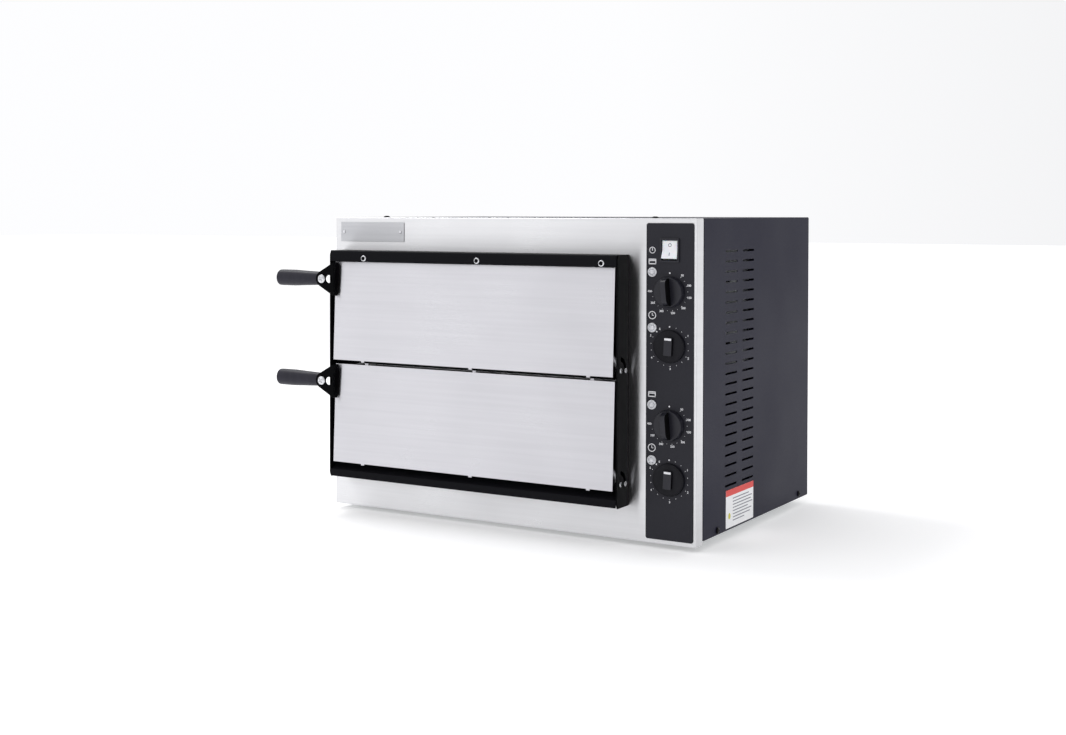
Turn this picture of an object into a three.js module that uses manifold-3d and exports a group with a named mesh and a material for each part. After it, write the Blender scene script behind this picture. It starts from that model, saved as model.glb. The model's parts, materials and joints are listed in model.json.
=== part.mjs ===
// Countertop twin-deck electric pizza oven.
// Millimetres. X runs to the right, Y to the rear and Z up, seen from in front of the oven.
// Shell coordinates start at the front panel: X = 0 at its left edge, Y = 0 on its front face
// and Z = 0 at its bottom edge. The last lines move the origin to the bottom centre of the
// whole object.

import * as THREE from "three";
import { mergeVertices } from "three/addons/utils/BufferGeometryUtils.js";
import Module from "manifold-3d";

const wasm = await Module();
wasm.setup();

// ---------------------------------------------------------------- driving dimensions

// shell
const BODY_WIDTH = 568;
const BODY_DEPTH = 450;
const BODY_HEIGHT = 430;
const SHEET = 1;                  // shell, chamber and door sheet
const GAP = 0.3;                  // between pieces that touch
const FLANGE_DEPTH = 21.5;        // front panel's turned-back edges
const COVER_FRONT_GAP = 2.5;      // shadow gap between those edges and the cover
const LIP_DEPTH = 17;             // joggled lip that the cover slides over
const COVER_BOTTOM = 5;           // cover stops short of the front panel's bottom edge
const FLOOR_CLEARANCE = 8;        // front panel's bottom edge above the worktop

// door frame, a plate frame standing out of the front panel
const FRAME_LEFT = 13;
const FRAME_RIGHT = 473;
const FRAME_BOTTOM = 46;
const FRAME_TOP = 381.5;
const FRAME_DEPTH = 36;
const FRAME_PLATE = 2;
const FRAME_SHEET = 1.5;

// decks: everything that repeats for the upper and the lower oven
const DECK_PITCH = 151;
const HINGE_Y = -26;
const LOWER_HINGE_Z = 77.3;

// door, measured from its hinge axis
const DOOR_SIDE_GAP = 4.7;
const DOOR_BOTTOM = -8.3;
const DOOR_TOP = 136.2;
const DOOR_FRONT_AT_BOTTOM = -10;
const DOOR_FRONT_AT_TOP = -3.5;
const LINER_BACK = 23;
const STOP_RADIUS = 15.2;
const STOP_REST_ANGLE = THREE.MathUtils.degToRad(-3);
const DOOR_TRAVEL = THREE.MathUtils.degToRad(80);

// baking chamber
const CHAMBER_LEFT = 40;
const CHAMBER_WIDTH = 406;
const CHAMBER_HEIGHT = 118;
const CHAMBER_DEPTH = 405;
const CHAMBER_ABOVE_HINGE = 1.7;
const STONE_THICKNESS = 12;
const STONE_ABOVE_FLOOR = 22;
const ELEMENT_DIAMETER = 8;
const ELEMENT_FROM_WALL = 11;     // tube centre to the floor or roof

// control strip at the right of the front panel
const OVERLAY_LEFT = 498;
const OVERLAY_RIGHT = 564;
const OVERLAY_BOTTOM = 5.5;
const OVERLAY_TOP = 423.7;
const OVERLAY_THICKNESS = 0.7;
const KNOB_X = 530.8;
const LAMP_X = 506.5;
const THERMOSTAT_ABOVE_HINGE = 80.5;
const TIMER_ABOVE_HINGE = 8.7;
const HEAT_LAMP_ABOVE_HINGE = 106.2;
const TIMER_LAMP_ABOVE_HINGE = 32.8;
const CONTROL_PITCH = 175.5;      // the controls of the two decks are further apart than the decks
const SWITCH_Z = 388;

// sides of a full circle, and steps of one rounded corner or arc of an outline
const CIRCLE_FINE = 30;
const CIRCLE_MEDIUM = 16;
const CIRCLE_COARSE = 10;
const ARC_STEPS = 4;

// ---------------------------------------------------------------- materials

function finish(color, roughness, metalness) {
  return new THREE.MeshStandardMaterial({ color, roughness, metalness });
}

const STAINLESS = finish(0xd2d3d6, 0.35, 1);
const BLACK_PAINT = finish(0x26272b, 0.5, 0.2);
const GALVANISED = finish(0x9a9ea2, 0.5, 0.9);
const ALUMINISED = finish(0x8d8f91, 0.55, 0.9);
const FIRECLAY = finish(0xc9b48f, 0.95, 0);
const MINERAL_WOOL = finish(0xb7a26a, 1, 0);
const INCOLOY = finish(0x4d4f4a, 0.45, 0.8);
const CONTROL_PLASTIC = finish(0x17181a, 0.45, 0);
const BAKELITE = finish(0x2b2a30, 0.4, 0);
const ZINC_STEEL = finish(0xc8c9cc, 0.3, 1);
const BLACK_STEEL = finish(0x101012, 0.4, 0.6);
const OVERLAY_FILM = finish(0x333439, 0.5, 0);
const CLEAR_LENS = finish(0xe6e6ea, 0.15, 0);
const WHITE_PLASTIC = finish(0xf2f2f4, 0.3, 0);
const RUBBER = finish(0x18181a, 0.8, 0);
const LABEL_FILM = finish(0xf0f0f0, 0.5, 0);
const GLAND_NYLON = finish(0x1c1c1f, 0.6, 0);

// ---------------------------------------------------------------- solids

function solidOf(geometry) {
  const bare = geometry.clone();
  bare.deleteAttribute("normal");
  bare.deleteAttribute("uv");
  const merged = mergeVertices(bare, 1e-4);
  return new wasm.Manifold(new wasm.Mesh({
    numProp: 3,
    vertProperties: new Float32Array(merged.getAttribute("position").array),
    triVerts: new Uint32Array(merged.index.array),
  }));
}

function geometryOf(solid) {
  const mesh = solid.getMesh();
  const geometry = new THREE.BufferGeometry();
  geometry.setAttribute("position", new THREE.BufferAttribute(mesh.vertProperties, 3));
  geometry.setIndex(new THREE.BufferAttribute(mesh.triVerts, 1));
  return geometry;
}

function join(first, ...others) {
  return geometryOf(others.reduce((sum, next) => sum.add(solidOf(next)), solidOf(first)));
}

function cut(first, ...tools) {
  return geometryOf(tools.reduce((rest, tool) => rest.subtract(solidOf(tool)), solidOf(first)));
}

// box between two values on each axis
function block([x0, x1], [y0, y1], [z0, z1]) {
  const box = new THREE.BoxGeometry(x1 - x0, y1 - y0, z1 - z0);
  return box.translate((x0 + x1) / 2, (y0 + y1) / 2, (z0 + z1) / 2);
}

const X_AXIS = new THREE.Vector3(1, 0, 0);
const Y_AXIS = new THREE.Vector3(0, 1, 0);
const Z_AXIS = new THREE.Vector3(0, 0, 1);
const FACING_FRONT = new THREE.Matrix4().makeBasis(X_AXIS, Z_AXIS, Y_AXIS.clone().negate());
const FACING_RIGHT = new THREE.Matrix4().makeBasis(Y_AXIS, Z_AXIS, X_AXIS);

// outline in X and Z, between two values of Y
function plateFacingFront(shape, [y0, y1], arcSteps = ARC_STEPS) {
  const options = { depth: y1 - y0, bevelEnabled: false, curveSegments: arcSteps / 2 };
  return new THREE.ExtrudeGeometry(shape, options).applyMatrix4(FACING_FRONT).translate(0, y1, 0);
}

// outline in Y and Z, between two values of X
function plateFacingRight(shape, [x0, x1], arcSteps = ARC_STEPS) {
  const options = { depth: x1 - x0, bevelEnabled: false, curveSegments: arcSteps / 2 };
  return new THREE.ExtrudeGeometry(shape, options).applyMatrix4(FACING_RIGHT).translate(x0, 0, 0);
}

function polygon(points) {
  return new THREE.Shape(points.map(([u, v]) => new THREE.Vector2(u, v)));
}

function roundedRectangle([u0, u1], [v0, v1], radius) {
  const shape = new THREE.Shape();
  shape.absarc(u1 - radius, v0 + radius, radius, -Math.PI / 2, 0);
  shape.absarc(u1 - radius, v1 - radius, radius, 0, Math.PI / 2);
  shape.absarc(u0 + radius, v1 - radius, radius, Math.PI / 2, Math.PI);
  shape.absarc(u0 + radius, v0 + radius, radius, Math.PI, 1.5 * Math.PI);
  shape.closePath();
  return shape;
}

function rodAlongX(radius, [x0, x1], [y, z], segments = CIRCLE_COARSE) {
  const rod = new THREE.CylinderGeometry(radius, radius, x1 - x0, segments);
  return rod.rotateZ(Math.PI / 2).translate((x0 + x1) / 2, y, z);
}

function rodAlongY(radius, [y0, y1], [x, z], segments = CIRCLE_COARSE) {
  const rod = new THREE.CylinderGeometry(radius, radius, y1 - y0, segments);
  return rod.translate(x, (y0 + y1) / 2, z);
}

function rodAlongZ(radius, [z0, z1], [x, y], segments = CIRCLE_COARSE) {
  const rod = new THREE.CylinderGeometry(radius, radius, z1 - z0, segments);
  return rod.rotateX(Math.PI / 2).translate(x, y, (z0 + z1) / 2);
}

// profile of [radius, distance along the axis], turned about the Y axis
function turnedAboutY(profile, segments = CIRCLE_MEDIUM) {
  const points = profile.map(([radius, along]) => new THREE.Vector2(radius, along));
  return new THREE.LatheGeometry(points, segments);
}

// low domed screw head on a plain shank, with its axis along Y and its head towards -Y;
// the head's flat underside lies at Y = 0
function domedScrew(headRadius, headHeight, shankRadius, shankLength) {
  const rings = 4;
  const dome = Array.from({ length: rings + 1 }, (_, ring) => {
    const angle = (ring / rings) * Math.PI / 2;
    return [headRadius * Math.sin(angle), -headHeight * Math.cos(angle)];
  });
  const screw = [...dome, [shankRadius, 0], [shankRadius, shankLength], [0, shankLength]];
  return turnedAboutY(screw, CIRCLE_MEDIUM);
}

// ---------------------------------------------------------------- the scene graph

const oven = new THREE.Group();

function place(parent, name, geometry, material, position = [0, 0, 0], rotation = [0, 0, 0]) {
  const mesh = new THREE.Mesh(geometry, material);
  mesh.name = name;
  mesh.position.set(...position);
  mesh.rotation.set(...rotation);
  parent.add(mesh);
}

const DECKS = [
  { name: "lower", hingeZ: LOWER_HINGE_Z, controlZ: LOWER_HINGE_Z },
  { name: "upper", hingeZ: LOWER_HINGE_Z + DECK_PITCH, controlZ: LOWER_HINGE_Z + CONTROL_PITCH },
];

const CHAMBER_X = [CHAMBER_LEFT, CHAMBER_LEFT + CHAMBER_WIDTH];

function chamberZ(deck) {
  const floor = deck.hingeZ + CHAMBER_ABOVE_HINGE;
  return [floor, floor + CHAMBER_HEIGHT];
}

// the element tails leave through the chamber's right wall
const ELEMENT_ENDS_Y = [60, 330];
const ELEMENT_TAIL_X = 488;

function elementHeights(deck) {
  const [floor, roof] = chamberZ(deck);
  return { bottom: floor + ELEMENT_FROM_WALL, top: roof - ELEMENT_FROM_WALL };
}

function elementTailHoles(deck, radius, xRange) {
  return Object.values(elementHeights(deck)).flatMap((z) =>
    ELEMENT_ENDS_Y.map((y) => rodAlongX(radius, xRange, [y, z])));
}

// ---------------------------------------------------------------- controls, by position

const LAMP_HOLE_RADIUS = 5.2;
const SHAFT_HOLE_RADIUS = 5.5;
const SWITCH_POCKET = { width: 22.2, height: 26.8 };
const SWITCH_BODY = { width: 24, height: 28.6 };
const SWITCH_BEZEL = { width: 26.4, height: 31.5 };

const LAMPS = DECKS.flatMap((deck) => [
  { name: `${deck.name}_heat_lamp`, z: deck.controlZ + HEAT_LAMP_ABOVE_HINGE },
  { name: `${deck.name}_timer_lamp`, z: deck.controlZ + TIMER_LAMP_ABOVE_HINGE },
]);

const KNOBS = DECKS.flatMap((deck) => [
  { name: `${deck.name}_thermostat`, z: deck.controlZ + THERMOSTAT_ABOVE_HINGE },
  { name: `${deck.name}_timer`, z: deck.controlZ + TIMER_ABOVE_HINGE },
]);

function controlHoles(yRange) {
  const half = { x: SWITCH_BODY.width / 2 + GAP, z: SWITCH_BODY.height / 2 + GAP };
  return [
    ...LAMPS.map((lamp) => rodAlongY(LAMP_HOLE_RADIUS + GAP, yRange, [LAMP_X, lamp.z])),
    ...KNOBS.map((knob) => rodAlongY(SHAFT_HOLE_RADIUS + GAP, yRange, [KNOB_X, knob.z])),
    block([KNOB_X - half.x, KNOB_X + half.x], yRange, [SWITCH_Z - half.z, SWITCH_Z + half.z]),
  ];
}

// ---------------------------------------------------------------- screws of the cover

const TOP_SCREW_X = [71, BODY_WIDTH - 71];
const TOP_SCREW_Y = 30;
const SIDE_SCREWS = [
  { name: "cover_screw_side_front", y: 74.5, z: 11 },
  { name: "cover_screw_side_rear", y: 407, z: 12 },
];
const SCREW_HEAD = { radius: 4.6, height: 2.4 };
const SCREW_SHANK = { radius: 2, length: 9 };
const SCREW_HOLE_RADIUS = 2.6;

function topScrewHoles(zRange) {
  return TOP_SCREW_X.map((x) => rodAlongZ(SCREW_HOLE_RADIUS, zRange, [x, TOP_SCREW_Y]));
}

function sideScrewHoles(xRange) {
  return SIDE_SCREWS.map(({ y, z }) => rodAlongX(SCREW_HOLE_RADIUS, xRange, [y, z]));
}

function addCoverScrews() {
  const { radius, length } = SCREW_SHANK;
  const screw = domedScrew(SCREW_HEAD.radius, SCREW_HEAD.height, radius, length);
  TOP_SCREW_X.forEach((x, index) => {
    const name = ["cover_screw_top_left", "cover_screw_top_right"][index];
    const position = [x, TOP_SCREW_Y, BODY_HEIGHT + GAP];
    place(oven, name, screw, BLACK_STEEL, position, [-Math.PI / 2, 0, 0]);
  });
  SIDE_SCREWS.forEach(({ name, y, z }) => {
    place(oven, name, screw, BLACK_STEEL, [BODY_WIDTH + GAP, y, z], [0, 0, Math.PI / 2]);
  });
}

// ---------------------------------------------------------------- shell

// inverted U of sheet, open at the bottom, running along Y
function hood(inset, bottom, yRange) {
  const inner = inset + SHEET;
  const outline = polygon([
    [inset, bottom],
    [inner, bottom],
    [inner, BODY_HEIGHT - inner],
    [BODY_WIDTH - inner, BODY_HEIGHT - inner],
    [BODY_WIDTH - inner, bottom],
    [BODY_WIDTH - inset, bottom],
    [BODY_WIDTH - inset, BODY_HEIGHT - inset],
    [inset, BODY_HEIGHT - inset],
  ]);
  return plateFacingFront(outline, yRange);
}

function addFrontPanel() {
  const lipInset = SHEET + GAP;
  const lipBottom = 40;
  const bottomFlangeDepth = 15;
  const joggle = 2;
  const openings = DECKS.map((deck) => block(CHAMBER_X, [-SHEET, 2 * SHEET], chamberZ(deck)));
  const panel = join(
    block([0, BODY_WIDTH], [0, SHEET], [0, BODY_HEIGHT]),
    block([0, BODY_WIDTH], [0, bottomFlangeDepth], [0, SHEET]),
    hood(0, 0, [0, FLANGE_DEPTH]),
    hood(SHEET / 2, lipBottom, [FLANGE_DEPTH - joggle, FLANGE_DEPTH]),
    hood(lipInset, lipBottom, [FLANGE_DEPTH - joggle, FLANGE_DEPTH + LIP_DEPTH]),
  );
  const topOfLip = [BODY_HEIGHT - 3 * SHEET, BODY_HEIGHT];
  const holes = [...openings, ...controlHoles([-SHEET, 2 * SHEET]), ...topScrewHoles(topOfLip)];
  place(oven, "front_panel", cut(panel, ...holes), STAINLESS);
}

const LOUVRE_COLUMNS_Y = [102.7, 167.3];
const LOUVRE_LENGTH = 43.5;
const LOUVRE_HEIGHT = 3;
const LOUVRE_ROWS = 24;
const LOUVRE_TOP = 385;
const LOUVRE_PITCH = 13.87;

function louvreSlots() {
  const slots = [];
  for (const y of LOUVRE_COLUMNS_Y) {
    for (let row = 0; row < LOUVRE_ROWS; row += 1) {
      const z = LOUVRE_TOP - row * LOUVRE_PITCH;
      const zRange = [z - LOUVRE_HEIGHT / 2, z + LOUVRE_HEIGHT / 2];
      slots.push(block([BODY_WIDTH - 3 * SHEET, BODY_WIDTH + SHEET], [y, y + LOUVRE_LENGTH], zRange));
    }
  }
  return slots;
}

function addOuterCover() {
  const cover = hood(0, COVER_BOTTOM, [FLANGE_DEPTH + COVER_FRONT_GAP, BODY_DEPTH]);
  const topHoles = topScrewHoles([BODY_HEIGHT - 2 * SHEET, BODY_HEIGHT + SHEET]);
  const sideHoles = sideScrewHoles([BODY_WIDTH - 2 * SHEET, BODY_WIDTH + SHEET]);
  const pierced = cut(cover, ...louvreSlots(), ...topHoles, ...sideHoles);
  place(oven, "outer_cover", pierced, BLACK_PAINT);
}

const BASE_BOTTOM = COVER_BOTTOM + SHEET;

function addBasePlate() {
  const inset = SHEET + GAP;
  const flangeTop = BASE_BOTTOM + 20;
  const left = inset;
  const right = BODY_WIDTH - inset;
  const front = 2 * SHEET;
  const rear = BODY_DEPTH - 4 * SHEET;
  const flangeFront = FLANGE_DEPTH + LIP_DEPTH + 2;
  const tray = join(
    block([left, right], [front, rear], [BASE_BOTTOM, BASE_BOTTOM + SHEET]),
    block([left, left + SHEET], [flangeFront, rear], [BASE_BOTTOM, flangeTop]),
    block([right - SHEET, right], [flangeFront, rear], [BASE_BOTTOM, flangeTop]),
    block([left, right], [front, front + SHEET], [BASE_BOTTOM, flangeTop]),
    block([left, right], [rear - SHEET, rear], [BASE_BOTTOM, flangeTop]),
  );
  place(oven, "base_plate", cut(tray, ...sideScrewHoles([right - 2 * SHEET, right + SHEET])), GALVANISED);
}

const GLAND_X = 524;
const GLAND_Z = 44;
const GLAND_RADIUS = 8;
const REAR_PANEL_Y = [BODY_DEPTH - 3 * SHEET, BODY_DEPTH - 2 * SHEET];

function addRearPanel() {
  const inset = SHEET + GAP;
  const [y0, y1] = REAR_PANEL_Y;
  const ventRows = 14;
  const ventPitch = 13.87;
  const ventX = [495, 540];
  const sheet = block([inset, BODY_WIDTH - inset], [y0, y1], [BASE_BOTTOM, BODY_HEIGHT - inset]);
  const vents = Array.from({ length: ventRows }, (_, row) => {
    const z = LOUVRE_TOP - row * ventPitch;
    return block(ventX, [y0 - SHEET, y1 + SHEET], [z - LOUVRE_HEIGHT / 2, z + LOUVRE_HEIGHT / 2]);
  });
  const through = [y0 - SHEET, y1 + SHEET];
  const glandHole = rodAlongY(GLAND_RADIUS + GAP, through, [GLAND_X, GLAND_Z], CIRCLE_MEDIUM);
  place(oven, "rear_panel", cut(sheet, ...vents, glandHole), BLACK_PAINT);
}

function addCableGland() {
  const collarRadius = 13;
  const outside = REAR_PANEL_Y[1] + GAP;
  const inside = REAR_PANEL_Y[0] - 12;
  const glandEnd = BODY_DEPTH + 14;
  const boreRadius = 4.5;
  const collarEnd = outside + 5;
  const gland = turnedAboutY([
    [boreRadius, inside],
    [GLAND_RADIUS, inside],
    [GLAND_RADIUS, outside],
    [collarRadius, outside],
    [collarRadius, collarEnd],
    [collarRadius - 2, collarEnd + 1],
    [collarRadius - 4, glandEnd],
    [boreRadius, glandEnd],
    [boreRadius, inside],
  ]);
  place(oven, "cable_gland", gland, GLAND_NYLON, [GLAND_X, 0, GLAND_Z]);
}

function addTerminalBlock() {
  const size = { x: 44, y: 18, z: 22 };
  const bodyX = [GLAND_X - size.x / 2, GLAND_X + size.x / 2];
  const y = 330;
  const z = BASE_BOTTOM + SHEET + GAP;
  const ways = 4;
  const wellWidth = 6;
  const body = block(bodyX, [y, y + size.y], [z, z + size.z]);
  const wells = Array.from({ length: ways }, (_, way) => {
    const x = bodyX[0] + ((way + 0.5) / ways) * size.x - wellWidth / 2;
    return block([x, x + wellWidth], [y + 6, y + 12], [z + 10, z + size.z + 1]);
  });
  place(oven, "terminal_block", cut(body, ...wells), WHITE_PLASTIC);
}

function addFeet() {
  const inset = { x: 55, y: 55 };
  const top = BASE_BOTTOM - GAP;
  const foot = turnedAboutY([
    [0, -FLOOR_CLEARANCE],
    [12, -FLOOR_CLEARANCE],
    [13, 1 - FLOOR_CLEARANCE],
    [15, top],
    [0, top],
  ]);
  const rows = [["front", inset.y], ["rear", BODY_DEPTH - inset.y]];
  const sides = [["left", inset.x], ["right", BODY_WIDTH - inset.x]];
  for (const [row, y] of rows) {
    for (const [side, x] of sides) {
      place(oven, `foot_${row}_${side}`, foot, RUBBER, [x, y, 0], [Math.PI / 2, 0, 0]);
    }
  }
}

const CONTROL_WALL_X = [477, 478];

function addControlCompartmentWall() {
  const wall = block(CONTROL_WALL_X, [3, 440], [BASE_BOTTOM + SHEET + GAP, 425]);
  const through = [CONTROL_WALL_X[0] - SHEET, CONTROL_WALL_X[1] + SHEET];
  const holes = DECKS.flatMap((deck) => elementTailHoles(deck, ELEMENT_DIAMETER / 2 + 1, through));
  place(oven, "control_compartment_wall", cut(wall, ...holes), GALVANISED);
}

// ---------------------------------------------------------------- baking chambers

function addChamber(deck) {
  const [x0, x1] = CHAMBER_X;
  const [z0, z1] = chamberZ(deck);
  const y0 = SHEET + GAP;
  const y1 = CHAMBER_DEPTH;
  const rim = 10;
  const ledge = 12;
  const ledgeZ = z0 + STONE_ABOVE_FLOOR - GAP;
  const shell = cut(
    join(
      block([x0 - SHEET, x1 + SHEET], [y0, y1 + SHEET], [z0 - SHEET, z1 + SHEET]),
      block([x0 - rim, x1 + rim], [y0, y0 + SHEET], [z0 - rim, z1 + rim]),
    ),
    block([x0, x1], [y0 - SHEET, y1], [z0, z1]),
    ...elementTailHoles(deck, ELEMENT_DIAMETER / 2 + 0.6, [x1 - SHEET, x1 + 2 * SHEET]),
  );
  const chamber = join(
    shell,
    block([x0 - SHEET / 2, x0 + ledge], [y0, y1], [ledgeZ - SHEET, ledgeZ]),
    block([x1 - ledge, x1 + SHEET / 2], [y0, y1], [ledgeZ - SHEET, ledgeZ]),
  );
  place(oven, `${deck.name}_chamber`, chamber, ALUMINISED);
}

function addBakingStone(deck) {
  const side = 2;
  const [x0, x1] = CHAMBER_X;
  const z = chamberZ(deck)[0] + STONE_ABOVE_FLOOR;
  const stone = block([x0 + side, x1 - side], [4, CHAMBER_DEPTH - side], [z, z + STONE_THICKNESS]);
  place(oven, `${deck.name}_baking_stone`, stone, FIRECLAY);
}

// four straight runs joined by three half circles, both tails leaving to the right
function elementRoute() {
  const [firstY, lastY] = ELEMENT_ENDS_Y;
  const runs = 4;
  const runPitch = (lastY - firstY) / (runs - 1);
  const bend = runPitch / 2;
  const leftX = CHAMBER_LEFT + 18 + bend;
  const rightX = CHAMBER_LEFT + CHAMBER_WIDTH - 18 - bend;
  const points = [new THREE.Vector3(ELEMENT_TAIL_X, firstY, 0)];
  const bendSteps = 6;
  for (let run = 0; run < runs - 1; run += 1) {
    const atLeft = run % 2 === 0;
    const centreX = atLeft ? leftX : rightX;
    const centreY = firstY + (run + 0.5) * runPitch;
    for (let step = 0; step <= bendSteps; step += 1) {
      const angle = -Math.PI / 2 + (step / bendSteps) * Math.PI;
      const reach = Math.cos(angle) * bend * (atLeft ? -1 : 1);
      points.push(new THREE.Vector3(centreX + reach, centreY + Math.sin(angle) * bend, 0));
    }
  }
  points.push(new THREE.Vector3(ELEMENT_TAIL_X, lastY, 0));
  return points;
}

// polyline whose spaced points are its own corners, so that straight runs take no extra steps
class CornerPath extends THREE.Curve {
  constructor(corners) {
    super();
    this.corners = corners;
  }

  getPoint(t, target = new THREE.Vector3()) {
    const along = t * (this.corners.length - 1);
    const index = Math.min(Math.floor(along), this.corners.length - 2);
    return target.lerpVectors(this.corners[index], this.corners[index + 1], along - index);
  }

  getPointAt(u, target) {
    return this.getPoint(u, target);
  }

  getTangentAt(u, target = new THREE.Vector3()) {
    const reach = 0.5 / (this.corners.length - 1);
    const before = this.getPoint(Math.max(u - reach, 0));
    const after = this.getPoint(Math.min(u + reach, 1));
    return target.subVectors(after, before).normalize();
  }
}

function elementTube() {
  const sides = 8;
  const section = polygon(Array.from({ length: sides }, (_, side) => {
    const angle = (side / sides) * 2 * Math.PI;
    return [ELEMENT_DIAMETER / 2 * Math.cos(angle), ELEMENT_DIAMETER / 2 * Math.sin(angle)];
  }));
  const corners = elementRoute();
  return new THREE.ExtrudeGeometry(section, {
    steps: corners.length - 1,
    extrudePath: new CornerPath(corners),
  });
}

function addHeatingElements(deck) {
  const tube = elementTube();
  for (const [level, z] of Object.entries(elementHeights(deck))) {
    place(oven, `${deck.name}_${level}_element`, tube, INCOLOY, [0, 0, z]);
  }
}

function addInsulation() {
  const y = [4, 438];
  const cavityGap = 1;
  const [x0, x1] = CHAMBER_X;
  const clear = SHEET + cavityGap;
  const blanket = block([FRAME_LEFT, CONTROL_WALL_X[0] - 1], y, [12, 416]);
  const cavities = DECKS.map((deck) => {
    const [z0, z1] = chamberZ(deck);
    return block([x0 - clear, x1 + clear], [y[0] - 1, CHAMBER_DEPTH + clear], [z0 - clear, z1 + clear]);
  });
  const tails = DECKS.flatMap((deck) =>
    elementTailHoles(deck, ELEMENT_DIAMETER / 2 + 1, [x1, CONTROL_WALL_X[1]]));
  place(oven, "insulation_blanket", cut(blanket, ...cavities, ...tails), MINERAL_WOOL);
}

// ---------------------------------------------------------------- controls

const OVERLAY_Y = [-OVERLAY_THICKNESS - GAP, -GAP];

function addControlOverlay() {
  const cornerRadius = 3;
  const outline = roundedRectangle(
    [OVERLAY_LEFT, OVERLAY_RIGHT], [OVERLAY_BOTTOM, OVERLAY_TOP], cornerRadius);
  const film = plateFacingFront(outline, OVERLAY_Y, 2 * ARC_STEPS);
  place(oven, "control_overlay", cut(film, ...controlHoles([-2, 1])), OVERLAY_FILM);
}

function addLamps() {
  const rimRadius = 6.4;
  const front = OVERLAY_Y[0] - GAP;
  const lens = turnedAboutY([
    [0, front - 3.6],
    [2.6, front - 3.3],
    [4.6, front - 2.4],
    [5.2, front - 1.4],
    [rimRadius, front - 1.2],
    [rimRadius, front],
    [LAMP_HOLE_RADIUS, front],
    [LAMP_HOLE_RADIUS, 16],
    [0, 16],
  ]);
  LAMPS.forEach(({ name, z }) => place(oven, name, lens, CLEAR_LENS, [LAMP_X, 0, z]));
}

const KNOB_BACK = OVERLAY_Y[0] - 0.8;
const SPINDLE_RADIUS = 3;
const SPINDLE_END = 14;
const THERMOSTAT_KNOB = {
  backRadius: 20.7,
  frontRadius: 19.1,
  height: 7.2,
  edge: 0.8,
  turn: THREE.MathUtils.degToRad(-4.7),
};
const TIMER_KNOB = {
  backRadius: 22,
  frontRadius: 21.4,
  height: 3.6,
  edge: 0.8,
  turn: THREE.MathUtils.degToRad(2.5),
};

// knob front stands at KNOB_BACK - height; its spindle runs back into the control's bushing
function knobBody({ backRadius, frontRadius, height, edge }) {
  const front = KNOB_BACK - height;
  const rim = 1.5;
  return turnedAboutY([
    [0, front],
    [frontRadius - edge, front],
    [frontRadius, front + edge],
    [backRadius, KNOB_BACK - rim],
    [backRadius, KNOB_BACK],
    [SPINDLE_RADIUS, KNOB_BACK],
    [SPINDLE_RADIUS, SPINDLE_END],
    [0, SPINDLE_END],
  ], CIRCLE_FINE);
}

// disc with a tall finger ridge right across it, rounded down at both ends
function thermostatKnob() {
  const width = 7.3;
  const rise = 15;
  const reach = THERMOSTAT_KNOB.frontRadius - THERMOSTAT_KNOB.edge;
  const flat = 0.4 * reach;
  const front = KNOB_BACK - THERMOSTAT_KNOB.height;
  const root = front + 1;
  const top = front - rise;
  const side = new THREE.Shape();
  side.moveTo(root, -reach);
  side.lineTo(front, -reach);
  side.quadraticCurveTo(top, -reach, top, -flat);
  side.lineTo(top, flat);
  side.quadraticCurveTo(top, reach, front, reach);
  side.lineTo(root, reach);
  side.closePath();
  const ridge = plateFacingRight(side, [-width / 2, width / 2], 2 * ARC_STEPS);
  return join(knobBody(THERMOSTAT_KNOB), ridge);
}

// low disc carrying an upright grip bar
function timerKnob() {
  const bar = { width: 11.5, height: 24.3, rise: 2.9, corner: 1.6 };
  const front = KNOB_BACK - TIMER_KNOB.height;
  const outline = roundedRectangle(
    [-bar.width / 2, bar.width / 2], [-bar.height / 2, bar.height / 2], bar.corner);
  return join(knobBody(TIMER_KNOB), plateFacingFront(outline, [front - bar.rise, front + 1]));
}

function addKnobs() {
  const knobs = {
    thermostat: { shape: thermostatKnob(), turn: THERMOSTAT_KNOB.turn },
    timer: { shape: timerKnob(), turn: TIMER_KNOB.turn },
  };
  for (const { name, z } of KNOBS) {
    const { shape, turn } = knobs[name.split("_")[1]];
    place(oven, `${name}_knob`, shape, CONTROL_PLASTIC, [KNOB_X, 0, z], [0, turn, 0]);
  }
}

// switch body behind the panel, with a threaded bushing reaching into the panel's hole
function controlBody(width, height, depth) {
  const back = SHEET + GAP;
  const body = block([-width / 2, width / 2], [back, back + depth], [-height / 2, height / 2]);
  const bushing = rodAlongY(SHAFT_HOLE_RADIUS, [OVERLAY_Y[0], back + 2], [0, 0], CIRCLE_MEDIUM);
  const bore = rodAlongY(SPINDLE_RADIUS + GAP, [OVERLAY_Y[0] - 1, SPINDLE_END + 1], [0, 0], CIRCLE_MEDIUM);
  return cut(join(body, bushing), bore);
}

function addControlBodies() {
  const bodies = { thermostat: controlBody(36, 34, 30), timer: controlBody(36, 48, 32) };
  for (const { name, z } of KNOBS) {
    const kind = name.split("_")[1];
    place(oven, name, bodies[kind], WHITE_PLASTIC, [KNOB_X, 0, z]);
  }
}

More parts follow.
